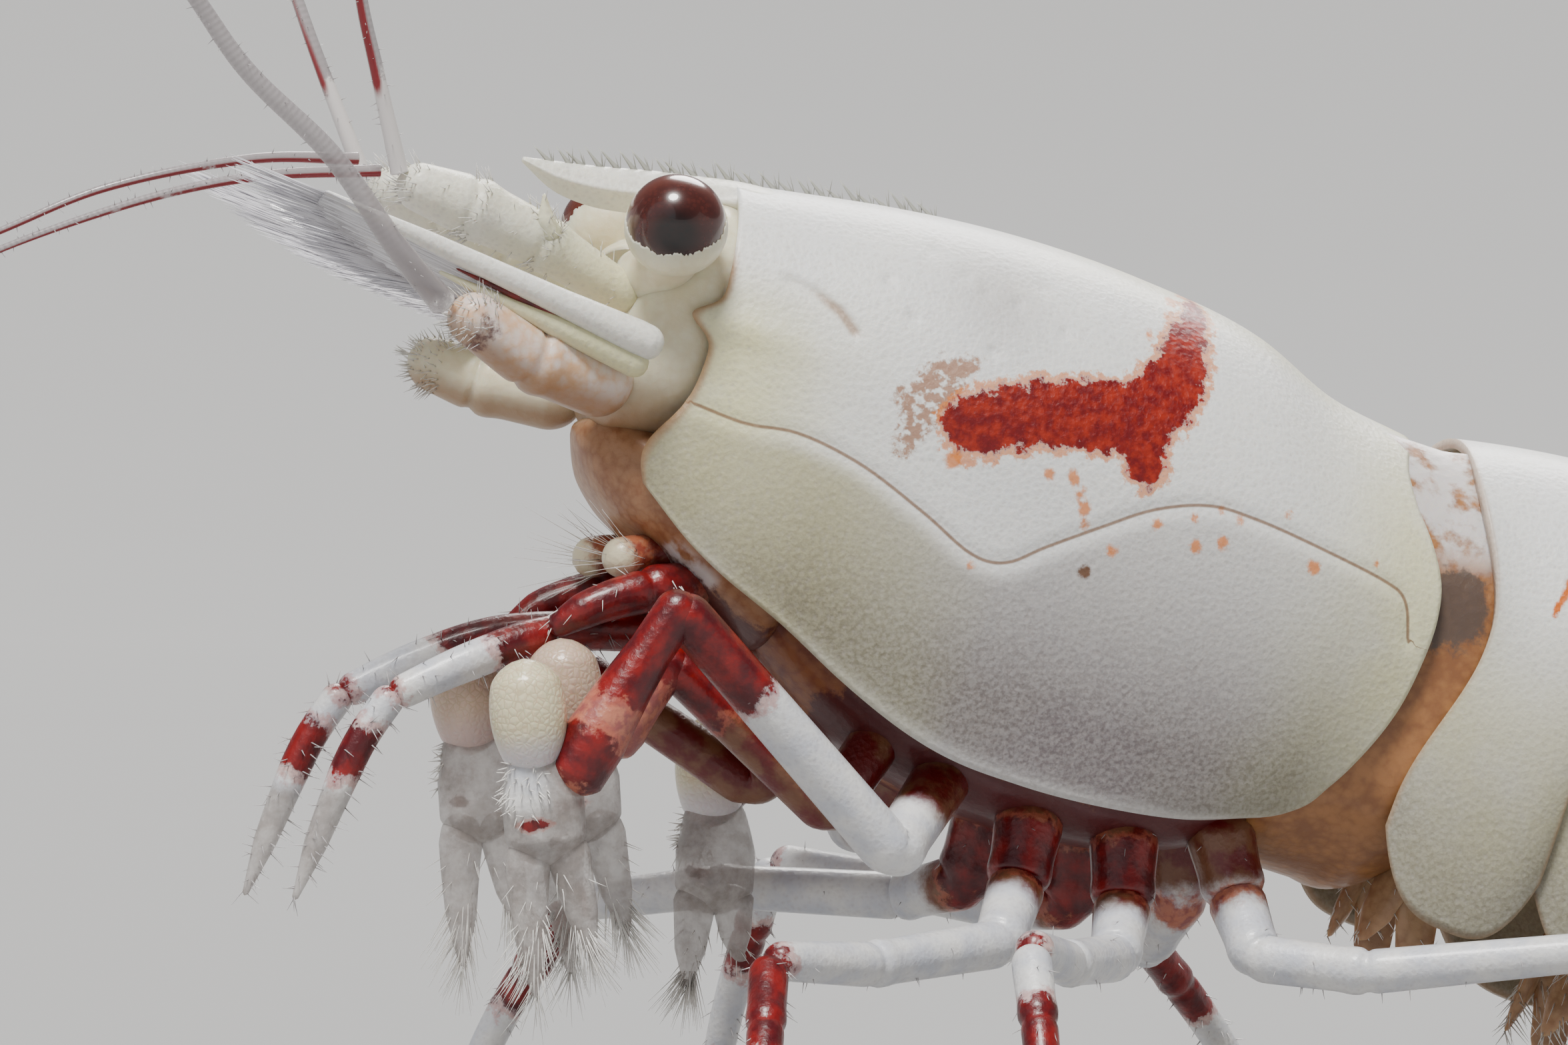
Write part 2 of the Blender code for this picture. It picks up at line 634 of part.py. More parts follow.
def antenna_scale(sign):
    """The broad blade beside the antenna, straight outside, rounded and fringed with vanes inside."""
    rings = []
    for share in np.linspace(0, 1, 8):
        width = scale_width(share)
        angles = np.arange(10) * 2 * math.pi / 10
        thick = SCALE_THICKNESS / 2 * (0.6 + 0.4 * math.sqrt(width / SCALE_WIDTH))
        rings.append([scale_place(share, width * (1 - math.cos(angle)) / 2, thick * math.sin(angle), sign)
                      for angle in angles])
    pieces = [loft(rings)]
    for i, ease in enumerate(np.linspace(0, 1, SCALE_VANES)):
        share = 0.42 + 0.58 * ease
        length = np.interp(ease, (0, 1), SCALE_VANE_LENGTHS) * (1 + 0.08 * math.sin(3.1 * i))
        lean = math.radians(42 * (1 - ease))
        edge = scale_width(share) * (1 - 0.35 * ease)
        root = scale_place(share - 0.05, edge - 0.15, 0, sign)
        ahead = length * math.cos(lean) / (SCALE_TIP[0] - SCALE_ROOT[0])
        tip = scale_place(share + ahead, edge + length * 0.8 * math.sin(lean), 0, sign)
        pieces.append(spine(root, tip, VANE_RADIUS))
    return fuse(pieces)


def thorax_floor(s):
    """Give the height of the thorax's underside at s."""
    return smooth(s, THORAX_STATIONS, 2)


def limb_root(s, y, sign):
    """Give a limb's first two places, a gap off the thorax's underside and square out from there."""
    step = 0.1
    rise = (thorax_floor(s + step) - thorax_floor(s - step)) / (2 * step)
    ahead, up = rise / math.hypot(rise, 1), -1 / math.hypot(rise, 1)
    level = thorax_floor(s)
    out = GAP + COXA_DROP
    return [front(s + ahead * GAP, level + up * GAP, y * sign),
            front(s + ahead * out, level + up * out, (y + COXA_DROP * 0.35) * sign)]


def parted(route, reach):
    """Split a bent limb behind its bend, with a gap between the two routes.

    The first route goes round the bend, the length reach into the last stretch, and the second
    starts a gap further on. Route is all places up to the bend and the next one after it.
    """
    *first, bend, beyond = [np.array(place) for place in route]
    way = (beyond - bend) / np.linalg.norm(beyond - bend)
    before = bend + (first[-1] - bend) / np.linalg.norm(first[-1] - bend) * reach * 0.6
    upper = [*first, before, bend + way * reach * 0.3, bend + way * reach]
    return upper, bend + way * (reach + GAP)


def make_mouthparts():
    """The close-set mouthparts as one form, with the plume-like branches that wave in front of it."""
    pieces = [inner_form(MOUTH_STATIONS, steps=5, power=2.4)]
    for _, sign in SIDES:
        for plume in PLUMES:
            root, tip = (front(s, h, y * sign) for s, h, y in plume)
            pieces.append(spine(root, tip, PLUME_RADIUS))
    place_mesh("mouthparts", fuse(pieces), AMBER)


def make_maxilliped(side, sign):
    """The slender last mouth limb, which reaches forward and bends down to its tip."""
    shift = MAXILLIPED_SHIFT[side]
    route = limb_root(MAXILLIPED_ROOT, 0.36, sign)
    route += [(x + shift, y * sign, z) for x, y, z in MAXILLIPED]
    fine = curved(route, 2)
    place_mesh("maxilliped_" + side, tube(fine, spread_radii(fine, MAXILLIPED_RADII)), RED)


def make_claw_leg(name, sizes, sign):
    """A claw leg in two nodes, the arm up to the elbow and the forearm with its claw."""
    route = [*limb_root(sizes["root"], 0.86, sign), *sizes["arm"], sizes["wrist"]]
    arm, elbow = parted(route, BEND_REACH)
    place_mesh(name + "_arm", tube(arm, spread_radii(arm, ARM_RADII)), RED)
    forearm = [elbow, between(elbow, sizes["wrist"], 0.5), sizes["wrist"]]
    carpus = tube(forearm, (CARPUS_RADII[0], CARPUS_RADII[1], CARPUS_RADII[1] * 0.8))
    pieces = [*claw(sizes), carpus]
    place_mesh(name + "_claw", fuse(pieces), RED)


def claw(sizes):
    """The palm, its two long fingers side by side and the brush of bristles at each tip."""
    palm = sizes["palm"]
    tip = sizes["tip"]
    route = [between(palm, tip, share) for share in (0.0, 0.06, 0.2, 0.36, 0.5)]
    pieces = [tube(route, [PALM_RADIUS * radius for radius in (0.6, 0.9, 1.0, 0.95, 0.75)])]
    for side in (-1.0, 1.0):
        route = []
        for share, aside in ((0.40, 0.10), (0.68, FINGER_SPREAD), (1.0, FINGER_SPREAD * 0.8)):
            x, y, z = between(palm, tip, share)
            route.append((x + side * aside, y, z))
        pieces.append(tube(route, (FINGER_RADIUS, FINGER_RADIUS, FINGER_RADIUS * 0.45)))
        for i in range(BRUSH_LOCKS):
            x, y, z = between(route[1], route[2], 0.70 + 0.24 * (i % 2))
            turn = side * math.radians(8 + 14 * i)
            drop = (math.sin(turn) * BRUSH_LENGTH, 0.08 * (i - 1.5), -math.cos(turn) * BRUSH_LENGTH)
            pieces.append(spine((x, y, z), (x + drop[0], y + drop[1], z + drop[2]), BRUSH_RADIUS))
    return pieces


def make_walking_leg(name, sizes, sign):
    """A walking leg in two nodes, parted at the knee, its foot cut flat on the floor."""
    foot = (*sizes["foot"], -0.12)
    middle = between(sizes["knee"], foot, 0.5)
    bow = (middle[0], middle[1] + sign * SHANK_BOW * 0.5, middle[2] + SHANK_BOW)
    route = [*limb_root(sizes["root"], 0.90, sign), *sizes["thigh"], sizes["knee"], bow]
    thigh, start = parted(route, BEND_REACH)
    place_mesh(name + "_upper", tube(thigh, spread_radii(thigh, LEG_RADII)), RED)
    route = curved((start, bow, foot), 3)
    shank = tube(route, spread_radii(route, SHANK_RADII))
    shape = bmesh.new()
    shape.from_mesh(shank)
    flat = bmesh.ops.bisect_plane(shape, geom=shape.verts[:] + shape.edges[:] + shape.faces[:], dist=1e-8,
                                  plane_co=(0, 0, 0), plane_no=(0, 0, 1), clear_inner=True)
    edges = [piece for piece in flat["geom_cut"] if isinstance(piece, bmesh.types.BMEdge)]
    bmesh.ops.edgeloop_fill(shape, edges=edges)
    bmesh.ops.recalc_face_normals(shape, faces=shape.faces)
    shape.to_mesh(shank)
    shape.free()
    place_mesh(name + "_lower", shank, WHITE)


def back_line():
    """Walk down the abdomen's back in short steps, and give its arc lengths and places."""
    arcs = np.linspace(0, ABDOMEN_STATIONS[-1][0], 201)
    slopes = np.radians([smooth(arc, ABDOMEN_STATIONS, 1) for arc in arcs])
    step = arcs[1] - arcs[0]
    x = ABDOMEN_START[0] + np.concatenate(([0], np.cumsum(np.cos(slopes[:-1]) * step)))
    z = ABDOMEN_START[1] - np.concatenate(([0], np.cumsum(np.sin(slopes[:-1]) * step)))
    return arcs, x, z


def rear(arc, depth, y, along=0.0):
    """Turn a place of the abdomen, at an arc length and a depth under the back, into x, y and z."""
    arcs, xs, zs = BACK_LINE
    tilt = math.radians(smooth(arc, ABDOMEN_STATIONS, 2))
    x = np.interp(arc, arcs, xs) - depth * math.sin(tilt) + along * math.cos(tilt)
    z = np.interp(arc, arcs, zs) - depth * math.cos(tilt) - along * math.sin(tilt)
    return x, y, z


def make_somite(number):
    """One ring of the abdomen with its side plates, open below between them."""
    start = SOMITE_ENDS[number - 1] + (GAP / 2 if number > 1 else 0)
    end = SOMITE_ENDS[number] - GAP / 2
    half_section = vault(PLATE_TUCK)
    rings = []
    for share in np.linspace(0, 1, 5):
        arc = start + (end - start) * share
        half_width, plates, belly = (smooth(arc, ABDOMEN_STATIONS, column) for column in (3, 4, 5))
        plates *= 1 - PLATE_ROUNDING * abs(2 * share - 1) ** 3
        half_width *= 0.985 + 0.03 * share
        inside = half_width * (1 - PLATE_TUCK) - PLATE_WALL
        half_ring = [(plates * drop, half_width * wide) for drop, wide in half_section]
        half_ring += [(plates, inside), ((plates + belly) / 2, inside), (belly + 0.35, inside)]
        half_ring += [(belly, inside * 0.62)]
        mirrored = [(depth, -y) for depth, y in reversed(half_ring[1:])]
        bow = 1 - share if number == 1 else 0.0
        rings.append([rear(arc, depth, y, bow * rear_bulge(depth / REAR_HEIGHT))
                      for depth, y in half_ring + mirrored])
    place_mesh(f"abdomen_{number}", loft(rings, plate_caps(len(rings[0]))), WHITE)


def plate_caps(count):
    """Close the end of an abdomen ring, across the top in strips and down each side plate."""
    walls = [(6, 7, 12, 13), (7, 8, 11, 12), (8, 9, 10, 11)]
    mirrored = [tuple(count - i for i in wall) for wall in walls]
    return rungs(0, 6, count) + [(6, 13, count - 13, count - 6)] + walls + mirrored


def solid_ring(arc, half_width, depth, around=12, power=2.4):
    """Give one full section of the tail, a rounded oval hung from the back line."""
    angles = np.arange(around) * 2 * math.pi / around + math.pi / around
    ring = []
    for angle in angles:
        across = math.copysign(abs(math.cos(angle)) ** (2 / power), math.cos(angle))
        up = math.copysign(abs(math.sin(angle)) ** (2 / power), math.sin(angle))
        ring.append(rear(arc, depth * (1 - up) / 2, half_width * across))
    return ring


def make_tail():
    """The last ring of the abdomen, which is whole all round, and the spined telson behind it."""
    start = SOMITE_ENDS[5] + GAP / 2
    end = SOMITE_ENDS[6] - GAP / 2
    rings = []
    for arc in np.linspace(start, end, 5):
        half_width, depth = (smooth(arc, ABDOMEN_STATIONS, column) for column in (3, 5))
        rings.append(solid_ring(arc, half_width, depth))
    place_mesh("abdomen_6", loft(rings), WHITE)
    rings = []
    for share in np.linspace(0, 1, 6):
        arc = end + GAP + (TELSON_END - end - GAP) * share
        half_width = np.interp(share**1.3, (0, 1), TELSON_WIDTHS)
        rings.append(solid_ring(arc, half_width, np.interp(share, (0, 1), TELSON_DEPTHS), around=10))
    pieces = [loft(rings)]
    for _, sign in SIDES:
        for i in range(TELSON_SPINES):
            arc = end + TELSON_SPINE_START + TELSON_SPINE_STEP * i
            tip = rear(arc + TELSON_SPINE_LENGTH, -0.12, 0.30 * sign)
            pieces.append(spine(rear(arc, 0.16, 0.24 * sign), tip, TELSON_SPINE_RADIUS))
    for across in TELSON_END_SPINES:
        root = rear(TELSON_END - 0.15, 0.25, across)
        tip = rear(TELSON_END + TELSON_SPINE_LENGTH, 0.25, across * 1.4)
        pieces.append(spine(root, tip, TELSON_SPINE_RADIUS))
    place_mesh("telson", fuse(pieces), WHITE)


def make_uropods(side, sign):
    """The two blades of the tail fan on one side, joined at their base."""
    arc, y, depth = UROPOD_ROOT
    root = rear(arc - 0.05, depth, y * sign)
    hub = rear(arc + 0.55, depth, (y + 0.16) * sign)
    pieces = [tube([root, between(root, hub, 0.5), hub], (0.34, 0.34, 0.26))]
    for turn, length, half_width in UROPOD_BLADES:
        pieces += tail_blade(hub, turn, length, half_width, sign)
    place_mesh("uropods_" + side, fuse(pieces), WHITE)


def tail_blade(hub, turn, length, half_width, sign):
    """One blade of the tail fan, a flat oval with a ray along its middle, and the vanes of its fringe."""
    slope = math.radians(smooth(17.0, ABDOMEN_STATIONS, 2))
    back, down = math.cos(slope), math.sin(slope)
    ahead = np.array((back * math.cos(turn), sign * math.sin(turn), -down * math.cos(turn)))
    aside = np.array((-back * math.sin(turn), sign * math.cos(turn), down * math.sin(turn)))
    up = np.cross(ahead, aside) * sign
    if up[2] < 0:
        up = -up
    rings = []
    around = 12
    for share in np.linspace(0, 1, 8):
        width = half_width * (0.38 + 0.62 * math.sin(math.pi * min(share * 1.4, 1) / 2))
        width *= math.sqrt(max(0.05, 1 - max(0.0, (share - 0.6) / 0.405) ** 2))
        centre = np.array(hub) + ahead * (length * share - 0.2)
        ring = []
        for i in range(around):
            angle = i * 2 * math.pi / around
            thick = BLADE_THICKNESS / 2 * math.sin(angle) * (0.7 + 0.3 * width / half_width)
            ray = BLADE_RAY if i == around // 4 else 0.0
            ring.append(centre + aside * width * math.cos(angle) + up * (thick + ray))
        rings.append(ring)
    return [loft(rings), *blade_fringe(hub, ahead, aside, length, half_width)]


def blade_fringe(hub, ahead, aside, length, half_width):
    """The vanes round the hind edge of a tail blade, fanned out from its middle."""
    vanes = []
    for lean in np.linspace(-1, 1, BLADE_VANES):
        out = math.sqrt(1 - abs(lean) ** 3)
        edge = np.array(hub) + ahead * (length * (0.62 + 0.33 * out) - 0.2) + aside * half_width * lean * 0.86
        way = ahead * math.cos(lean * BLADE_FAN) + aside * math.sin(lean * BLADE_FAN)
        reach = np.interp(out, (0, 1), BLADE_VANE_LENGTHS)
        vanes.append(spine(edge - way * 0.2, edge + way * reach, VANE_RADIUS))
    return vanes


def make_swimmerets(number):
    """A pair of paddles under one ring of the abdomen, linked across the middle."""
    arc = (SOMITE_ENDS[number - 1] + SOMITE_ENDS[number]) / 2
    belly = smooth(arc, ABDOMEN_STATIONS, 5)
    length = SWIMMERET_LENGTHS[number - 1]
    room = smooth(arc, ABDOMEN_STATIONS, 3) * (1 - PLATE_TUCK) - PLATE_WALL - GAP
    spread = min(SWIMMERET_SPREAD, room - 0.4)
    start = belly + GAP + 0.05
    pieces = []
    for _, sign in SIDES:
        middle = start + length * 0.4
        route = [rear(arc, start, spread * sign), rear(arc, middle, spread * sign)]
        pieces.append(tube(route, (0.26, 0.28)))
        for ahead, outward, share in SWIMMERET_BRANCHES:
            end = start + length * share
            aside = (spread + outward) * sign
            route = [rear(arc, middle - 0.15, spread * sign),
                     rear(arc, middle + length * 0.3, (spread + outward / 2) * sign, ahead * 0.6),
                     rear(arc, end, aside, ahead)]
            pieces.append(tube(route, (0.25, 0.27, 0.18)))
            for turn in np.radians(SWIMMERET_FRINGE):
                root = rear(arc, end - 0.3, aside, ahead + 0.1 * math.sin(turn))
                reach = SWIMMERET_FRINGE_LENGTH
                tip = rear(arc, end + reach * math.cos(turn), aside, ahead + reach * math.sin(turn))
                pieces.append(spine(root, tip, VANE_RADIUS))
    link = [rear(arc, start + length * 0.3, -spread), rear(arc, start + length * 0.3, spread)]
    pieces.append(tube(link, (0.2, 0.2), 1))
    place_mesh(f"swimmerets_{number}", fuse(pieces), AMBER)


def stand_at_origin():
    """Slide the whole animal so that the middle of its box lies over the origin."""
    corners = np.array([v.co[:] for thing in PARTS.objects for v in thing.data.vertices])
    middle = (corners.min(axis=0) + corners.max(axis=0)) / 2
    for thing in PARTS.objects:
        shape = bmesh.new()
        shape.from_mesh(thing.data)
        bmesh.ops.translate(shape, verts=shape.verts, vec=(-middle[0], -middle[1], 0.0))
        shape.to_mesh(thing.data)
        shape.free()


def make_shrimp():
    """Build every sub-part in turn, from the shield to the tail fan."""
    make_carapace()
    make_rostrum()
    place_mesh("thorax", inner_form(THORAX_STATIONS), AMBER)
    place_mesh("head", inner_form(HEAD_STATIONS, steps=4), CREAM)
    make_mouthparts()
    for side, sign in SIDES:
        make_eye(side, sign)
        make_feelers(side, sign)
        make_maxilliped(side, sign)
        make_uropods(side, sign)
    for name, sizes in CLAW_LEGS.items():
        make_claw_leg(name, sizes, -1.0 if name.endswith("left") else 1.0)
    for name, sizes in WALKING_LEGS.items():
        make_walking_leg(name, sizes, -1.0 if name.endswith("left") else 1.0)
    for number in range(1, 6):
        make_somite(number)
        make_swimmerets(number)
    make_tail()
    stand_at_origin()


clear_scene()
PARTS = bpy.data.collections.new("bee_shrimp")
GUIDES = bpy.data.collections.new("guides")
bpy.context.scene.collection.children.link(PARTS)
bpy.context.scene.collection.children.link(GUIDES)
BACK_LINE = back_line()
make_shrimp()
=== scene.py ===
"""Looks of a bee shrimp that stands on its walking legs with its head up.

Shapes are worked out in millimetres in the animal's own places and become metres where a mesh is
made. The front of the body is drawn in a pitched frame: s runs forward from the top of the
carapace's rear margin, h runs up from there and y is to the side. The left side is -y.
"""
import math

import bpy
import numpy as np
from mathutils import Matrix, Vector


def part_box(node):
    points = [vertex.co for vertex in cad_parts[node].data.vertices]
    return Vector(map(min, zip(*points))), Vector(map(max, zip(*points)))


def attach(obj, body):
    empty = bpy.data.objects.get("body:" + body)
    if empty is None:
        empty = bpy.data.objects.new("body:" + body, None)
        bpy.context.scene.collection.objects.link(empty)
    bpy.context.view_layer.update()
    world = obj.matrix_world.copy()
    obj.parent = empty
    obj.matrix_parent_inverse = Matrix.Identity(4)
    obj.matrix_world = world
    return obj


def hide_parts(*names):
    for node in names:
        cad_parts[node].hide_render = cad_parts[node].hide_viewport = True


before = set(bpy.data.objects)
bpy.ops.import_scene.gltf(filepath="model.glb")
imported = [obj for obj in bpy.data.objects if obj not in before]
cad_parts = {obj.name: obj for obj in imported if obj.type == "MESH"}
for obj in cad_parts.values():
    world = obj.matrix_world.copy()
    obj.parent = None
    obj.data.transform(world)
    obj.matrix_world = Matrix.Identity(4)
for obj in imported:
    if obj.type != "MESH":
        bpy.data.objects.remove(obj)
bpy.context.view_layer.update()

MM = 0.001
SIDES = {"left": -1.0, "right": 1.0}
RNG = np.random.default_rng(41)

# Depth of a mark where it has none, and lengths before a limb's root and beyond its tip
OUTSIDE = -9.0
BEFORE = -1.0
BEYOND = 9.0

# A hair's radius at its tip, how deep its root sits, and the side of its patch on the bake map
HAIR_TIP = 0.0015
HAIR_SINK = 0.01
HAIR_PATCH = 0.003

# How far a coat's hairs lean its way, and how far they scatter, both beside a way out of length 1
COAT_LEAN = 0.8
COAT_SCATTER = 0.3

# Steps along a jointed limb, and how far its skin swells before a joint and narrows at it, as shares
LIMB_STEP = 0.035
JOINT_SWELL = 0.07
JOINT_NOTCH = 0.11

# How far before a joint the swelling lies, and how wide it and the notch are
SWELL_BEFORE = 0.14
SWELL_WIDTH = 0.12
NOTCH_WIDTH = 0.05

# How small the last ring of a rounded end may get, as the square of a share of its size
TUBE_END = 0.0004
BODY_END = 0.003

# Grids, as rows along a piece and points across or around it
SHIELD_GRID = (190, 253)
BODY_GRID = (70, 72)
ROSTRUM_GRID = (110, 40)
EYE_GRID = (60, 72)
SCALE_GRID = (90, 48)
RING_GRID = (70, 161)
BELLY_GRID = (170, 72)
TAIL_GRID = (80, 56)
UROPOD_GRID = (70, 36)
CUP_AROUND = 180
CUP_ROWS = 26
STALK_ROWS = 14
FEELER_AROUND = 14
BACK_STEPS = 201
FLOOR_STEPS = 121

# Stance
BODY_PITCH = math.radians(17.5)
BACK_HEIGHT = 9.15
ROSTRUM_TIP = (10.67, -0.14)

# Carapace, rows of s, height of the back, height of the lower margin and half width
CARAPACE_STATIONS = (
    (0.0, 0.05, -4.71, 2.05),
    (1.0, 0.20, -4.93, 2.20),
    (2.0, 0.58, -5.06, 2.28),
    (3.5, 0.78, -5.14, 2.30),
    (5.0, 0.80, -5.06, 2.22),
    (6.5, 0.66, -4.60, 1.95),
    (7.6, 0.48, -4.02, 1.62),
    (8.3, 0.36, -3.30, 1.36),
)
CARAPACE_LENGTH = 8.3

# Rear margin of the carapace, rows of the share of its height and how far forward it lies
REAR_MARGIN = ((0.0, 0.06), (0.093, 0.22), (0.176, 0.12), (0.26, -0.12), (0.343, -0.30), (0.427, -0.36),
               (0.546, -0.33), (0.668, -0.22), (0.777, -0.02), (0.87, 0.22), (0.944, 0.49), (0.983, 0.80),
               (1.0, 1.02))

# Lower margin of the carapace, rows of s and the share of the height that the wall reaches down to
MARGIN_REACH = ((0.0, 1.0), (2.0, 1.0), (3.4, 1.0), (4.2, 0.997), (5.0, 0.983), (5.8, 0.961), (6.5, 0.938),
                (7.1, 0.930), (7.6, 0.933), (8.0, 0.950), (8.3, 0.972))

# How far the cheek and the tooth under the eye stand out, where a section is widest, its tuck and wall
CHEEK_BULGE = 0.35
ORBIT_TOOTH = 0.30
ORBIT_TOOTH_HEIGHT = -1.27
WIDEST = 0.45
MARGIN_TUCK = 0.16
SHELL_WALL = 0.11

# How deep the shell's lines and pits are pressed in, and how wide they are; the groove's as a share
GROOVE_PINCH = 0.014
GROOVE_WIDTH = 0.07
FURROW_DEPTH = 0.04
FURROW_WIDTH = 0.06
PIT_DEPTH = 0.03
PIT_WIDTH = 0.07

# Rows of s, top, bottom and half width for the forms inside the carapace
THORAX_STATIONS = (
    (0.35, -3.3, -4.70, 1.10),
    (1.5, -3.5, -5.28, 1.35),
    (3.1, -3.6, -5.55, 1.40),
    (4.6, -3.5, -5.45, 1.35),
    (5.8, -3.3, -5.05, 1.20),
    (7.0, -3.2, -4.28, 0.95),
)
HEAD_STATIONS = (
    (7.6, -0.10, -2.60, 0.85),
    (8.2, 0.10, -2.72, 1.20),
    (8.5, 0.04, -2.76, 1.25),
    (8.75, -0.36, -2.76, 1.22),
    (9.05, -0.80, -2.72, 1.10),
    (9.3, -1.00, -2.60, 0.85),
)
MOUTH_STATIONS = (
    (6.4, -3.2, -4.72, 1.25),
    (7.0, -2.9, -4.42, 1.42),
    (7.6, -2.7, -4.12, 1.42),
    (8.1, -2.6, -3.80, 1.26),
    (8.6, -2.5, -3.55, 0.95),
    (8.95, -2.5, -3.25, 0.62),
    (9.2, -2.6, -2.92, 0.34),
)
BODY_ROUNDING = 0.35

# Red stains, round the limb roots at these values of s and below the mouth at s and h
STAINED_ROOTS = (0.92, 1.99, 3.12, 4.2, 5.15)
MOUTH_STAIN = (7.2, -4.5)

# Rostrum, rows of s, top, bottom and half thickness
ROSTRUM_STATIONS = (
    (7.2, 0.40, 0.10, 0.60),
    (7.7, 0.43, 0.02, 0.60),
    (8.2, 0.40, -0.10, 0.54),
    (8.7, 0.31, -0.20, 0.30),
    (9.2, 0.21, -0.30, 0.22),
    (9.8, 0.07, -0.38, 0.17),
    (10.2, -0.01, -0.34, 0.11),
    (10.62, -0.09, -0.15, 0.025),
)
BLADE_ROOT = 8.0
CREST_SPAN = (5.9, 10.25)
CREST_TEETH = 25
CREST_HAIRS = 3
TOOTH_LENGTH = 0.34
TOOTH_RADIUS = 0.042
TOOTH_LEAN = math.radians(30)

# Eye on its stalk, places as s, h and y
EYE_CENTRE = (9.10, -0.42, 1.50)
EYE_RADIUS = 0.55
CUP_RADIUS = 0.562
CUP_RIM = math.radians(84)
CUP_END = math.radians(146)
STALK_ROOT = (9.0, -0.98, 0.55)

# Feelers, places as s, h and y
ANTENNULE = ((9.02, -1.30, 0.60), (10.34, -0.98, 0.72), (11.22, -0.86, 0.72), (12.05, -0.83, 0.70))
ANTENNULE_RADII = (0.22, 0.30, 0.34, 0.24)
STALK_JOINTS = (1.35, 2.25, 3.05)
BARB = ((10.2, -0.98, 0.86), (10.38, -0.78, 0.96), (10.5, -0.50, 1.0))
ANTENNA_BASES = {
    "left": ((8.95, -2.25, 0.85), (10.2, -2.30, 1.32), (11.22, -2.02, 1.52)),
    "right": ((8.95, -2.35, 0.85), (10.1, -2.50, 1.28), (10.9, -2.44, 1.38)),
}
ANTENNA_BASE_RADII = (0.44, 0.35, 0.28)
SCALE_ROOT = (8.98, -1.76, 1.42)
SCALE_TIP = (12.98, -1.27, 1.22)
SCALE_WIDTH = 1.0
SCALE_HALF_THICKNESS = 0.035
SCALE_TILT = math.radians(26)
FEELER_RADIUS = 0.075
OUTER_RADIUS = 0.105
ANTENNA_RADIUS = 0.16
RING_STEP = 0.07
RING_SWELL = 0.007
STRIPE_WAY = (-0.34, -0.47, -0.81)

# Feeler routes from root to tip as x, y and z
ANTENNULE_WHIPS = {
    "antennule_whip_outer_left": ((-11.74, -0.80, 12.05), (-12.04, -1.00, 13.15), (-12.29, -1.20, 14.11),
                                  (-12.60, -1.60, 15.9), (-13.3, -2.1, 17.8), (-14.5, -2.8, 19.58)),
    "antennule_whip_outer_right": ((-11.80, 0.80, 12.1), (-12.23, 0.92, 13.27), (-12.49, 1.10, 14.11),
                                   (-12.95, 1.60, 15.8), (-13.9, 2.3, 17.6), (-15.3, 3.0, 19.2)),
    "antennule_whip_inner_left": ((-11.9, -0.54, 12.08), (-13.30, -0.50, 12.00), (-14.70, -0.52, 11.69),
                                  (-16.50, -0.70, 11.04), (-18.4, -1.2, 10.1), (-20.3, -2.0, 9.3)),
    "antennule_whip_inner_right": ((-11.9, 0.54, 12.24), (-13.15, 0.50, 12.22), (-14.75, 0.55, 11.89),
                                   (-16.13, 0.70, 11.32), (-18.1, 1.1, 10.6), (-20.0, 1.8, 10.2)),
}
ANTENNA_WHIPS = {
    "antenna_whip_left": ((-11.45, -1.60, 10.62), (-12.06, -2.05, 11.20), (-12.84, -2.25, 12.20),
                          (-13.81, -2.40, 13.10), (-14.60, -2.60, 14.12), (-16.4, -3.3, 16.2),
                          (-18.6, -4.6, 18.0), (-21.2, -6.6, 19.4)),
    "antenna_whip_right": ((-10.9, 1.6, 9.95), (-10.3, 2.75, 10.05), (-9.4, 3.45, 9.85),
                           (-7.9, 4.1, 9.4), (-6.0, 4.8, 8.9), (-2.8, 5.6, 8.0),
                           (0.8, 6.6, 7.0), (4.4, 8.0, 6.0)),
}

# Limb routes as x, y and z, with roots on the thorax as s
MAXILLIPED_ROOT = 6.42
MAXILLIPED = ((-8.75, 0.42, 7.02), (-10.02, 0.70, 7.00), (-11.0, 0.85, 6.70), (-11.86, 0.85, 6.32),
              (-12.22, 0.85, 5.80), (-12.60, 0.85, 4.95), (-12.93, 0.85, 4.12))
MAXILLIPED_SHIFT = {"left": 0.0, "right": -0.18}
CLAW_LEGS = {
    "claw_leg_1_left": {
        "root": 5.12, "arm": ((-6.98, -1.12, 5.04), (-8.78, -1.25, 6.68)),
        "wrist": (-9.62, -1.2, 5.72), "palm": (-10.0, -1.2, 6.55), "tip": (-9.72, -1.18, 3.3),
    },
    "claw_leg_2_left": {
        "root": 4.20, "arm": ((-6.45, -1.86, 4.60), (-8.97, -2.30, 7.30)),
        "wrist": (-10.25, -2.25, 5.30), "palm": (-10.66, -2.22, 6.34), "tip": (-10.35, -2.18, 3.1),
    },
    "claw_leg_1_right": {
        "root": 5.17, "arm": ((-7.3, 1.12, 5.30), (-9.25, 1.28, 6.62)),
        "wrist": (-10.08, 1.26, 5.70), "palm": (-10.5, 1.25, 6.50), "tip": (-10.35, 1.2, 3.3),
    },
    "claw_leg_2_right": {
        "root": 4.20, "arm": ((-5.9, 1.60, 4.75), (-6.2, 3.3, 6.1)),
        "wrist": (-7.5, 2.6, 4.95), "palm": (-7.4, 2.3, 5.65), "tip": (-7.6, 1.9, 3.0),
    },
}
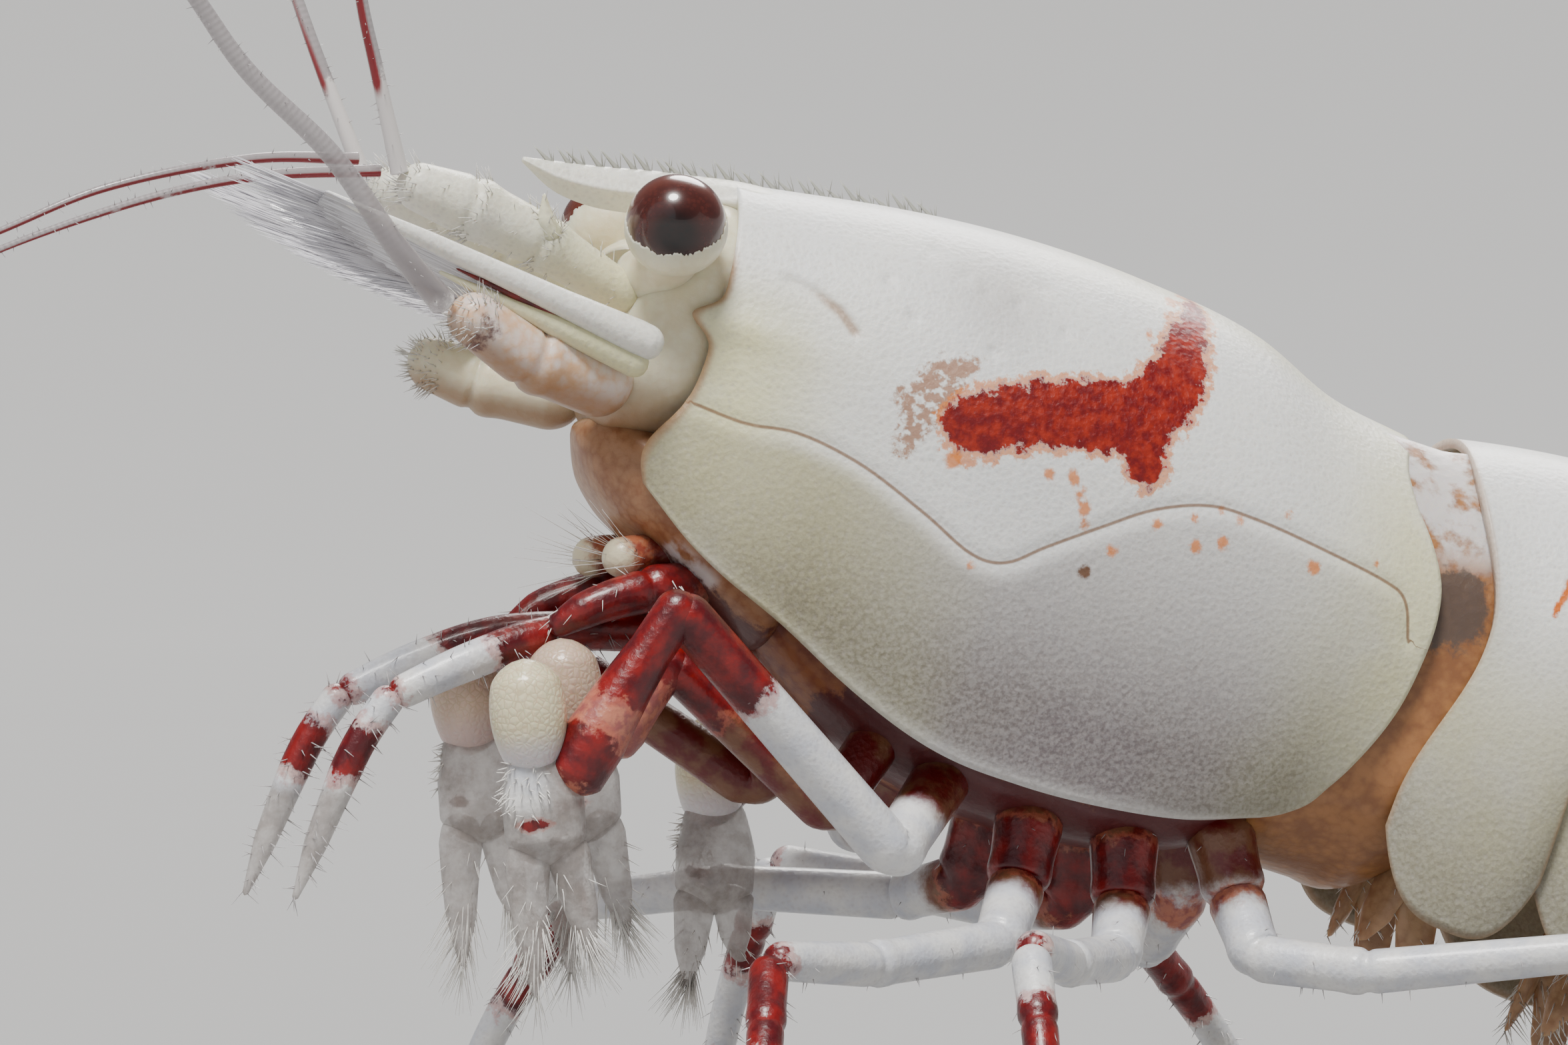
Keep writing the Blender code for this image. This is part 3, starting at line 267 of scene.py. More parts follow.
WALKING_LEGS = {
    "walking_leg_3_left": {
        "root": 3.12, "thigh": ((-5.26, -1.90, 3.61), (-7.02, -3.0, 3.44)), "knee": (-8.42, -4.0, 3.53),
        "foot": (-9.33, -6.4),
    },
    "walking_leg_4_left": {
        "root": 1.99, "thigh": ((-3.90, -1.80, 3.44), (-4.9, -3.3, 3.44)), "knee": (-5.74, -4.8, 3.67),
        "foot": (-6.10, -6.8),
    },
    "walking_leg_5_left": {
        "root": 0.92, "thigh": ((-2.25, -1.75, 3.42), (-1.2, -2.45, 3.28)), "knee": (1.62, -3.55, 3.57),
        "foot": (3.81, -4.9),
    },
    "walking_leg_3_right": {
        "root": 3.12, "thigh": ((-5.3, 1.95, 4.02), (-7.2, 2.95, 4.12)), "knee": (-8.67, 3.7, 3.91),
        "foot": (-10.2, 5.2),
    },
    "walking_leg_4_right": {
        "root": 1.99, "thigh": ((-4.1, 1.95, 3.9), (-5.2, 3.3, 4.15)), "knee": (-6.1, 4.5, 4.35),
        "foot": (-6.6, 6.5),
    },
    "walking_leg_5_right": {
        "root": 0.92, "thigh": ((-2.45, 1.8, 3.45), (-2.1, 3.3, 3.45)), "knee": (-1.6, 5.0, 3.5),
        "foot": (1.0, 6.5),
    },
}
SHANK_BOW = 0.35
FOOT_HEIGHT = 0.015

# How deep in the thorax a limb starts, how far out its first length ends, and how far aside it lies
ROOT_DEPTH = 0.45
ROOT_REACH = 0.60
CLAW_ROOT_OUT = 0.86
LEG_ROOT_OUT = 0.90
MAXILLIPED_ROOT_OUT = 0.36

# Fingers of a claw, rows of side, lean of the middle, lean of the tip and reach past the claw's tip
FINGERS = ((-1.0, 0.25, 0.20, 0.0), (1.0, 0.30, 0.48, -0.35))
FOREARM_BOW = (-0.03, 0.0, 0.03)
ARM_OVERLAP = 0.12
HINGE_OVERLAP = 0.20
PALM_RADIUS = 0.42

# Radii of the jointed limbs at their joints
FIRST_ARM_RADII = (0.30, 0.27, 0.25)
SECOND_ARM_RADII = (0.34, 0.30, 0.27)
THIGH_RADII = (0.42, 0.33, 0.27, 0.25, 0.21)

# Profiles of tapering forms, rows of the share of the length and the radius there
FOREARM_PROFILE = ((0, 0.25), (0.3, 0.25), (0.75, 0.36), (0.92, 0.33), (1, 0.22))
HAND_PROFILE = ((0, 0.22), (0.2, 0.36), (0.5, 0.46), (0.8, 0.45), (1, 0.34))
FINGER_PROFILE = ((0, 0.20), (0.2, 0.25), (0.65, 0.18), (0.9, 0.08), (1, 0.02))
SHANK_PROFILE = ((0, 0.22), (0.08, 0.22), (0.55, 0.18), (0.84, 0.13), (0.88, 0.11), (0.94, 0.09), (1, 0.03))
MAXILLIPED_PROFILE = ((0, 0.25), (0.3, 0.22), (0.8, 0.21), (1, 0.18))
MAXILLIPED_END_PROFILE = ((0, 0.18), (0.4, 0.18), (0.75, 0.13), (1, 0.03))
KNOB_PROFILE = ((0, 0.24), (0.5, 0.19), (0.8, 0.23), (1, 0.20))
LOW_MOUTH_LEG_PROFILE = ((0, 0.28), (0.4, 0.25), (0.8, 0.20), (1, 0.12))
BARB_PROFILE = ((0, 0.16), (0.5, 0.10), (1, 0.012))
RIDGE_PROFILE = ((0, 0.19), (0.08, 0.20), (0.3, 0.15), (0.7, 0.10), (1, 0.03))
LOW_RIDGE_PROFILE = ((0, 0.17), (0.4, 0.13), (1, 0.02))
SCALE_LINE_PROFILE = ((0, 0.02), (0.5, 0.045), (1, 0.012))
UROPOD_STALK_PROFILE = ((0, 0.32), (0.6, 0.34), (1, 0.26))
PADDLE_STALK_PROFILE = ((0, 0.24), (0.5, 0.26), (1, 0.22))
PADDLE_BLADE_PROFILE = ((0, 0.14), (0.4, 0.27), (0.75, 0.22), (1, 0.06))

# Coats of hairs, as count, length, radius and how unevenly they stand
HAND_TUFT = (60, 0.16, 0.012, 1.4)
FINGER_BRUSH = (85, 0.52, 0.007, 0.5)
FINGER_SIDE_HAIRS = (14, 0.24, 0.007, 0.8)
THIGH_HAIRS = (26, 0.11, 0.007, 0.8)
SHANK_HAIRS = (60, 0.14, 0.009, 0.8)
MAXILLIPED_HAIRS = (60, 0.18, 0.007, 0.9)
MAXILLIPED_END_HAIRS = (80, 0.20, 0.008, 0.9)
KNOB_PLUME = (22, 0.70, 0.004, 0.5)
LOW_LEG_HAIRS = (30, 0.2, 0.007, 0.8)
STALK_TUFT = (50, 0.20, 0.008, 0.8)
STALK_HAIRS = (60, 0.14, 0.007, 0.9)
BARB_HAIRS = (26, 0.16, 0.007, 0.8)
BASE_WREATH = (150, 0.17, 0.009, 1.0)
PADDLE_HAIRS = (60, 0.30, 0.009, 0.4)
FIRST_PADDLE_HAIRS = (24, 0.14, 0.009, 0.4)
FRINGE_HAIRS = 420
UROPOD_HAIRS = 130

# Abdomen, rows of arc length along the back, slope of the back, tilt of the section, half width,
# depth to the lower edge of the side plates and depth to the floor of the belly
ABDOMEN_START = (0.32, 9.20)
ABDOMEN_STATIONS = (
    (0.0, 5.0, 17.5, 2.10, 5.3, 3.3),
    (1.9, 13.0, 16.0, 2.28, 5.75, 3.6),
    (3.4, 17.0, 17.0, 2.35, 6.0, 3.7),
    (4.8, 20.0, 19.5, 2.32, 5.9, 3.7),
    (8.2, 31.0, 30.0, 2.00, 5.1, 3.4),
    (10.5, 34.0, 33.0, 1.70, 4.1, 2.9),
    (12.5, 31.0, 31.0, 1.40, 3.3, 2.5),
    (15.4, 24.0, 25.0, 1.0, 1.85, 1.85),
    (18.7, 12.0, 14.0, 0.60, 0.7, 0.7),
    (20.0, 10.0, 12.0, 0.50, 0.6, 0.6),
)
SOMITE_ENDS = (0.0, 1.9, 4.8, 8.2, 10.5, 12.5, 15.4)
REAR_BULGE = 0.45
REAR_HEIGHT = 4.25
PLATE_ROUNDING = 0.16
PLATE_TUCK = 0.14
SIXTH_SPAN = (12.52, 15.45)
TELSON_SPAN = (15.35, 18.7)
TAIL_ROUNDING = 0.15
TAIL_POWER = 0.85

# Span of the belly's muscle along the back, and its stain as arc length, depth and y
BELLY_SPAN = (-1.1, 15.2)
BELLY_STAIN = (0.22, 2.0, -2.0)

# Swimmerets, with their blades as rows of lean ahead, lean outward and share of the length
SWIMMERET_LENGTHS = (2.4, 2.8, 2.7, 2.2, 1.45)
SWIMMERET_SPREAD = 0.78
PADDLE_BLADES = ((0.35, 0.10, 1.0), (-0.30, -0.10, 0.85))

# Tail fan, with the arc length whose slope it takes and its blades as rows of turn outward, length and
# half width
UROPOD_ROOT = (15.75, 0.60, 1.36)
UROPOD_SLOPE_ARC = 17.0
UROPOD_BLADES = ((math.radians(12), 3.1, 0.56), (math.radians(37), 3.2, 0.62))

# Marks on the carapace, places as s and h seen from the side, some with a radius
GROOVE = ((8.28, -2.21), (7.71, -2.26), (7.14, -2.20), (6.42, -2.33), (5.63, -2.63), (5.01, -2.90),
          (4.61, -2.88), (4.23, -2.58), (3.71, -2.19), (3.18, -1.82), (2.59, -1.59), (2.02, -1.57),
          (1.25, -1.64), (0.37, -1.76), (0.07, -1.90), (-0.10, -2.32))
RED_MARK = ((2.96, 0.72, 0.05), (3.02, 0.45, 0.15), (3.14, 0.14, 0.24), (3.31, -0.47, 0.35),
            (3.62, -0.95, 0.39), (4.25, -1.05, 0.36), (4.80, -1.22, 0.33), (5.38, -1.55, 0.34))
RED_SPUR = ((3.55, -1.0, 0.34), (3.40, -1.42, 0.20))
BROWN_PATCH = ((6.02, -1.98, 0.12), (6.02, -1.5, 0.25), (5.82, -1.12, 0.20), (5.58, -0.88, 0.08))
ORANGE_DOTS = ((3.52, -2.40, 0.07), (3.11, -1.96, 0.06), (2.62, -2.07, 0.07), (2.33, -1.93, 0.07),
               (2.73, -1.77, 0.04), (2.22, -1.62, 0.05), (2.45, -1.59, 0.04), (1.23, -1.87, 0.08),
               (1.68, -1.39, 0.04), (0.53, -1.61, 0.05), (3.96, -2.06, 0.07), (3.88, -2.22, 0.05),
               (4.44, -1.80, 0.06), (4.17, -1.76, 0.07), (4.98, -3.03, 0.04), (4.05, -1.90, 0.06),
               (5.50, -1.98, 0.10), (3.30, 0.55, 0.06), (3.62, 0.05, 0.05))
BROWN_DOT = ((3.74, -2.71, 0.07),)
FRONT_GROOVE = ((7.67, -0.60), (7.35, -0.66), (7.07, -0.78), (6.88, -0.95))
PITS = ((6.14, 0.23), (5.79, 0.04), (5.37, -0.70), (5.55, -0.07), (5.18, -0.09), (6.63, -0.27),
        (4.60, -0.23), (4.9, 0.2), (6.3, -0.6))

# Orange streak on the first ring of the abdomen, as arc length and depth with a radius
STREAK = ((1.08, 1.85, 0.03), (1.30, 1.50, 0.07), (1.58, 1.12, 0.10))

# Mouth legs, routes as x, y and z
MOUTH_LEG = ((-8.35, 0.45, 7.85), (-8.95, 0.62, 7.90), (-9.42, 0.72, 7.78))
MOUTH_LEG_LOW = ((-8.2, 0.60, 7.55), (-8.9, 0.95, 7.50), (-9.6, 1.05, 7.32), (-10.1, 0.95, 7.05))

# Pale streak on the mouthparts beside the shield's margin, as s and h with a radius
MOUTH_STREAK = ((7.95, -3.76, 0.02), (7.50, -4.02, 0.04))

# Colours of the shell and its marks
WHITE = (0.84, 0.83, 0.79)
COOL_WHITE = (0.72, 0.73, 0.77)
CREAM = (0.72, 0.69, 0.42)
# The next two are the haze's colours: partly the shell's own grey-violet and moss tones, partly painted
# shade, darkened to stand for the shade on the lower flanks.
LILAC_AND_SHADE = (0.13, 0.10, 0.105)
MOSS_AND_SHADE = (0.185, 0.165, 0.105)
SHELL_SHADE = (0.42, 0.38, 0.36)
CRIMSON = (0.15, 0.001, 0.003)
SCARLET = (0.34, 0.018, 0.004)
ORANGE = (0.70, 0.20, 0.02)
STREAK_ORANGE = (0.62, 0.14, 0.01)
BROWN = (0.16, 0.08, 0.045)
PATCH_BROWN = (0.34, 0.15, 0.07)
FURROW_BROWN = (0.34, 0.19, 0.10)
GROOVE_BROWN = (0.22, 0.11, 0.05)
RIM_BROWN = (0.36, 0.20, 0.10)

# Colours of the limbs and the palms
LIMB_WHITE = (0.78, 0.77, 0.75)
LIMB_GREY = (0.58, 0.60, 0.66)
LIMB_SHADE = (0.42, 0.36, 0.36)
LIMB_CREAM = (0.72, 0.64, 0.44)
AMBER = (0.19, 0.075, 0.035)
AMBER_STAIN = (0.13, 0.006, 0.006)
GLOW_ORANGE = (0.48, 0.12, 0.045)
GLOW_RED = (0.28, 0.022, 0.010)
GLASS_DARK = (0.33, 0.28, 0.25)
GLASS_PALE = (0.57, 0.53, 0.50)
BLOOD = (0.075, 0.001, 0.004)
BLOOD_PALE = (0.24, 0.006, 0.005)
BLOOD_RIM = (0.50, 0.12, 0.07)
PALM_CREAM = (0.74, 0.67, 0.45)
PALM_GREY = (0.66, 0.61, 0.62)
PALM_PINK = (0.56, 0.37, 0.31)
PALM_LINES = (0.44, 0.33, 0.18)

# Colours of the flesh, the feelers, the scale's blade and the eye
FLESH_SHADE = (0.32, 0.17, 0.08)
FLESH_FROST = (0.66, 0.62, 0.60)
MEMBRANE_STAIN = (0.075, 0.06, 0.052)
FEELER_GREY = (0.37, 0.33, 0.335)
FEELER_RING = (0.44, 0.40, 0.405)
FEELER_WHITE = (0.76, 0.72, 0.70)
FEELER_STRIPE = (0.24, 0.006, 0.012)
BLADE_DARK = (0.48, 0.46, 0.48)
BLADE_PALE = (0.74, 0.74, 0.78)
PUPIL = (0.002, 0.001, 0.001)
MAROON = (0.070, 0.014, 0.010)
FACET_LINES = (0.02, 0.004, 0.003)
CORNEA_RIM = (0.15, 0.035, 0.018)

# Stage, with its lights as rows of name, place, strength, angle in degrees and tint
FLAT_REACH = 700.0
STAGE_REACH = 1150.0
WALL_CURVE = 0.0009
FLOOR_GREY = (0.31, 0.31, 0.31)
LIGHTS = (
    ("key", (-24, -48, 110), 5.0, 18, (1.0, 0.98, 0.95)),
    ("fill", (-90, -70, 30), 0.45, 70, (0.92, 0.95, 1.0)),
    ("back", (40, 75, 80), 3.1, 30, (1.0, 0.97, 0.94)),
)
SURROUND = (0.72, 0.76, 0.82)
SURROUND_STRENGTH = 0.24

# Camera, in the animal's own places
CAMERA_TURN = math.radians(15)
CAMERA_AWAY = 135.0
VIEW_MIDDLE = (-6.94, 8.23)
VIEW_WIDTH = 17.6
SENSOR_WIDTH = 36.0


def front(s, h, y):
    """Turn places of the pitched front body into x, y and z, as whole arrays.

    x is h times the pitch's sine less s times its cosine, and z is the height of the back plus s
    times the sine plus h times the cosine.
    """
    s, h, y = np.broadcast_arrays(s, h, y)
    x = -s * math.cos(BODY_PITCH) + h * math.sin(BODY_PITCH)
    z = BACK_HEIGHT + s * math.sin(BODY_PITCH) + h * math.cos(BODY_PITCH)
    return np.stack((x, y, z), axis=-1).astype(float)


def front_way(s, h, y):
    """Turn directions of the pitched front body into x, y and z."""
    return front(s, h, y) - front(0, 0, 0)


def front_side(places, sign):
    """Turn places of s, h and y, given for the right side, into x, y and z on the side of that sign."""
    return front(*(np.array(places) * (1, 1, sign)).T)


def seen_from_side(points):
    """Give s and h of places in x, y and z, the turn of the front body undone."""
    x, z = points[:, 0], points[:, 2] - BACK_HEIGHT
    s = z * math.sin(BODY_PITCH) - x * math.cos(BODY_PITCH)
    h = x * math.sin(BODY_PITCH) + z * math.cos(BODY_PITCH)
    return np.stack((s, h), axis=-1)


def find_shift():
    """Work out how far the CAD slid the animal in x and y, from the box of its rostrum."""
    low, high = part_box("rostrum")
    tip = front(*ROSTRUM_TIP, 0)
    return np.array((low.x / MM - tip[0], (low.y + high.y) / 2 / MM, 0.0))


SHIFT = find_shift()


def climb(value, start, end):
    """Rise evenly from 0 at the start to 1 at the end, and stay level before and after."""
    return np.clip((value - start) / (end - start), 0, 1)


def hump(value, middle, width):
    """Give a soft hump: e to the minus square of the distance from the middle over the width."""
    return np.exp(-((value - middle) / width) ** 2)


def rounded(reach, least):
    """Close an end off like a ball: the root of 1 less the square of 1 - reach, never below least's root."""
    return np.sqrt(np.clip(1 - (1 - np.clip(reach, 0, 1)) ** 2, least, 1))


def signed_power(value, power):
    """Raise the size of a value to a power and keep its sign."""
    return np.sign(value) * np.abs(value) ** power


def unit(ways):
    """Scale directions to length 1."""
    return ways / np.linalg.norm(ways, axis=-1, keepdims=True)


def turns(count):
    """Give the angles of so many even steps round a ring."""
    return np.arange(count) * 2 * math.pi / count


def cubic(t, start, end, lead, trail):
    """Go from start to end along the cubic that leaves with the slope lead and arrives with trail."""
    rise = (2 * t**3 - 3 * t**2 + 1) * start + (3 * t**2 - 2 * t**3) * end
    return rise + (t**3 - 2 * t**2 + t) * lead + (t**3 - t**2) * trail


def smooth(at, rows, column):
    """Read one column of a table of stations at many places, along a smooth curve through its rows."""
    table = np.array(rows)
    places, values = table[:, 0], table[:, column]
    slopes = np.gradient(values, places)
    at = np.asarray(at, dtype=float)
    i = np.clip(np.searchsorted(places, at) - 1, 0, len(places) - 2)
    span = places[i + 1] - places[i]
    return cubic((at - places[i]) / span, values[i], values[i + 1], span * slopes[i], span * slopes[i + 1])


def curved(points, steps):
    """Pass a smooth curve through a route's places, with the same number of steps in each stretch."""
    places = np.array(points, dtype=float)
    slopes = np.gradient(places, axis=0)
    t = (np.arange(steps) / steps)[None, :, None]
    route = cubic(t, places[:-1, None], places[1:, None], slopes[:-1, None], slopes[1:, None])
    return np.concatenate((route.reshape(-1, places.shape[1]), places[-1:]))


def spaced(route, step):
    """Walk along a route in even steps, and give the places and the length walked to each."""
    lengths = np.concatenate(([0], np.cumsum(np.linalg.norm(np.diff(route, axis=0), axis=1))))
    count = max(3, int(round(lengths[-1] / step)) + 1)
    walked = np.linspace(0, lengths[-1], count)
    places = np.stack([np.interp(walked, lengths, route[:, axis]) for axis in range(3)], axis=1)
    return places, walked


def cross_ways(route):
    """Give two cross directions at each place of a route: in the plane that it bends in, and across that."""
    ahead = unit(np.gradient(route, axis=0))
    flat = np.linalg.svd(route - route.mean(axis=0))[2][2]
    side = unit(np.cross(ahead, flat))
    return side, np.cross(ahead, side)


def ring_ways(turn, side, across):
    """Give a ring of directions at each place: the turn's cosine of side plus its sine of across."""
    return np.cos(turn)[:, None] * side[:, None] + np.sin(turn)[:, None] * across[:, None]


def grid_faces(rows, around, wrap=True):
    """Number the corners of the four-sided faces of a grid, which may close on itself around."""
    count = around if wrap else around - 1
    i, j = np.meshgrid(np.arange(rows - 1), np.arange(count), indexing="ij")
    k = (j + 1) % around
    corners = (i * around + j, i * around + k, (i + 1) * around + k, (i + 1) * around + j)
    return np.stack(corners, -1).reshape(-1, 4)


def fans(rows, around):
    """Number the faces that close both ends of a wrapped grid, each to one pole behind its points."""
    j = np.arange(around)
    k = (j + 1) % around
    last, total = (rows - 1) * around, rows * around
    start = np.stack((k, j, np.full(around, total)), -1)
    end = np.stack((last + j, last + k, np.full(around, total + 1)), -1)
    return np.concatenate((start, end))


def closed_grid(points):
    """Skin rings of points, given as rows by around by 3, into one closed surface with a pole at each end."""
    rows, around = points.shape[:2]
    poles = np.stack((points[0].mean(axis=0), points[-1].mean(axis=0)))
    return {"points": np.concatenate((points.reshape(-1, 3), poles)), "quads": grid_faces(rows, around),
            "tris": fans(rows, around), "marks": {}}


def open_grid(points, marks):
    """Skin a sheet of points, given as rows by across by 3, with its marks, and leave its margins open."""
    return {"points": points.reshape(-1, 3), "quads": grid_faces(*points.shape[:2], wrap=False),
            "tris": np.zeros((0, 3), dtype=int),
            "marks": {name: values.ravel() for name, values in marks.items()}}


def vault_grid(length, rows, across):
    """Give a vault's grid: places along it, share of the height under the back, and side.

    The share is the turn from the back, 0 to 1, to the power 1.5, which sets points closer at the back.
    """
    along, turn = np.meshgrid(np.linspace(0, length, rows), np.linspace(-1, 1, across), indexing="ij")
    return along, np.abs(turn) ** 1.5, np.sign(turn)


def ring_mark(values, around):
    """Spread one value per ring over a closed grid's points and its two poles."""
    return np.concatenate((np.repeat(values, around), values[[0, -1]]))


def cover(patch, **marks):
    """Give a surface marks that are the same all over it."""
    for name, value in marks.items():
        patch["marks"][name] = np.full(len(patch["points"]), value)
    return patch


def length_of(patch):
    """Give the length of a tube from its root."""
    return patch["marks"]["along"].max()


def distance_from(patch, place):
    """Give the distance of each of a surface's points from one place."""
    return np.linalg.norm(patch["points"] - place, axis=1)


def tube(route, profile, around, step, flatten=1.0, joints=()):
    """Carry a ring along a route, with a radius read from a profile of the share walked.

    The profile is rows of share and radius. Both ends are rounded off like a ball. Flatten narrows
    the ring across the plane of the route's bend. At each joint, a length along the route, the tube
    swells a little and then narrows to a notch, as two lengths of a limb meet.
    """
    places, walked = spaced(route, step)
    shares, sizes = np.array(profile).T
    radius = np.interp(walked / walked[-1], shares, sizes)
    for joint in joints:
        radius = radius * (1 + JOINT_SWELL * hump(walked, joint - SWELL_BEFORE, SWELL_WIDTH)
                           - JOINT_NOTCH * hump(walked, joint, NOTCH_WIDTH))
    cap = rounded(walked / radius[0], TUBE_END) * rounded((walked[-1] - walked) / radius[-1], TUBE_END)
    side, across = cross_ways(places)
    ring = ring_ways(turns(around), side, across * flatten)
    patch = closed_grid(places[:, None] + ring * (radius * cap)[:, None, None])
    patch["marks"]["along"] = ring_mark(walked, around)
    return patch


def limb(places, radii, round_off=0.34, around=20):
    """Make a jointed limb through its joints, each a place with a radius, as one tube with soft corners.

    The straight stretches are walked in small steps, and each place becomes a mean of its neighbours
    over the length that is rounded off.
    """
    places = np.array(places, dtype=float)
    route, _ = spaced(places, LIMB_STEP)
    lengths = np.cumsum(np.linalg.norm(np.diff(places, axis=0), axis=1))
    reach = int(round_off / LIMB_STEP / 2) + 1
    weights = np.hanning(2 * reach + 3)[1:-1]
    weights /= weights.sum()
    before = route[:1] * 2 - route[reach:0:-1]
    after = route[-1:] * 2 - route[-2:-reach - 2:-1]
    padded = np.concatenate((before, route, after))
    soft = np.stack([np.convolve(padded[:, axis], weights, mode="valid") for axis in range(3)], axis=1)
    shares = np.concatenate(([0.0], lengths)) / lengths[-1]
    shrink = np.linalg.norm(np.diff(soft, axis=0), axis=1).sum() / lengths[-1]
    return tube(soft, tuple(zip(shares, radii)), around, LIMB_STEP, joints=lengths[:-1] * shrink)


def hairs(roots, ways, lengths, radius, rings=4, places=None):
    """Make many thin hairs at once, each a three-sided spike that tapers evenly from its root.

    Places are each root's place on an unwrap, from 0 to 1, where the hair's own small patch of the
    bake map lies.
    """
    count = len(roots)
    ways = unit(ways)
    helper = np.where(np.abs(ways[:, 2:3]) > 0.9, (1.0, 0.0, 0.0), (0.0, 0.0, 1.0))
    side = unit(np.cross(ways, helper))
    t, turn = np.linspace(0, 1, rings), turns(3)
    spine = roots[:, None] + ways[:, None] * (np.broadcast_to(lengths, count)[:, None] * t)[..., None]
    thick = radius * (1 - t) + HAIR_TIP
    ring = ring_ways(turn, side, np.cross(ways, side))
    points = spine[:, :, None] + ring[:, None] * thick[:, None, None]
    per = rings * 3
    start = (np.arange(count) * per)[:, None, None]
    faces = grid_faces(rings, 3) + start
    caps = np.array(((2, 1, 0), (per - 3, per - 2, per - 1))) + start
    if places is None:
        places = np.stack((np.arange(count) / count, np.full(count, 0.5)), axis=1)
    patch_uv = np.stack(np.meshgrid(t, turn / (2 * math.pi), indexing="ij"), axis=-1).reshape(1, -1, 2)
    uv = places[:, None] * (1 - HAIR_PATCH) + patch_uv * HAIR_PATCH
    return {"points": points.reshape(-1, 3), "quads": faces.reshape(-1, 4), "tris": caps.reshape(-1, 3),
            "marks": {"along": np.tile(np.repeat(t, 3), count)}, "uv": uv.reshape(-1, 2)}


def join(patches):
    """Put several surfaces into one, with their marks side by side and zero where one has none."""
    sizes = [len(patch["points"]) for patch in patches]
    starts = np.cumsum([0] + sizes[:-1])
    names = sorted({name for patch in patches for name in patch["marks"]})
    whole = {"points": np.concatenate([patch["points"] for patch in patches]),
             "marks": {name: np.concatenate([patch["marks"].get(name, np.zeros(size))
                                             for patch, size in zip(patches, sizes)]) for name in names}}
    for kind in ("quads", "tris"):
        whole[kind] = np.concatenate([patch[kind] + start for patch, start in zip(patches, starts)])
    if all("uv" in patch for patch in patches):
        whole["uv"] = np.concatenate([patch["uv"] for patch in patches])
    return whole


def make(name, patches, material, nodes=()):
    """Put surfaces into the scene as one smooth-shaded piece that rides on the body."""
    patch = join(patches) if isinstance(patches, list) else patches
    if material in (SHELL, PLATE):
        patch["marks"].setdefault("streak", np.full(len(patch["points"]), OUTSIDE))
    mesh = bpy.data.meshes.new(name)
    points = (patch["points"] + SHIFT) * MM
    mesh.from_pydata(points.tolist(), [], patch["quads"].tolist() + patch["tris"].tolist())
    for mark, values in patch["marks"].items():
        mesh.attributes.new(mark, "FLOAT", "POINT").data.foreach_set("value", values.astype(np.float32))
    if "uv" in patch:
        corners = np.empty(len(mesh.loops), dtype=np.int32)
        mesh.loops.foreach_get("vertex_index", corners)
        layer = mesh.uv_layers.new(name="OFBake")
        layer.data.foreach_set("uv", patch["uv"][corners].astype(np.float32).ravel())
    mesh.shade_smooth()
    mesh.materials.append(material)
    thing = bpy.data.objects.new(name, mesh)
    bpy.context.scene.collection.objects.link(thing)
    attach(thing, "root")
    if nodes:
        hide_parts(*nodes)
    return thing


def make_vault(name, patch, material, node):
    """Put an open vault into the scene and give it a wall, inward from its outer face.

    The outer face is the one that points up in the middle of the back.
    """
    shell = make(name, patch, material, [node])
    middle = shell.data.polygons[len(shell.data.polygons) // 2]
    wall = shell.modifiers.new("wall", "SOLIDIFY")
    wall.thickness = SHELL_WALL * MM
    wall.offset = -1.0 if middle.normal.z > 0 else 1.0


def with_radius(places):
    """Give flat places as rows with a radius, zero where they have none of their own."""
    rows = np.array(places, dtype=float)
    return rows if rows.shape[1] == 3 else np.column_stack((rows, np.zeros(len(rows))))


def distance_to_line(points, line):
    """Give each flat place's distance from a line of stretches, less the line's own radius if it has one."""
    line = with_radius(line)
    nearest = np.full(points.shape[:-1], np.inf)
    for start, end in zip(line[:-1], line[1:]):
        way = end[:2] - start[:2]
        t = np.clip(((points - start[:2]) @ way) / (way @ way), 0, 1)
        gap = np.linalg.norm(points - (start[:2] + t[..., None] * way), axis=-1)
        nearest = np.minimum(nearest, gap - (start[2] * (1 - t) + end[2] * t))
    return nearest


def distance_to_dots(points, dots):
    """Give each flat place's distance from the nearest dot's rim, below zero inside a dot."""
    dots = with_radius(dots)
    gaps = np.linalg.norm(points[..., None, :] - dots[:, :2], axis=-1) - dots[:, 2]
    return gaps.min(axis=-1)


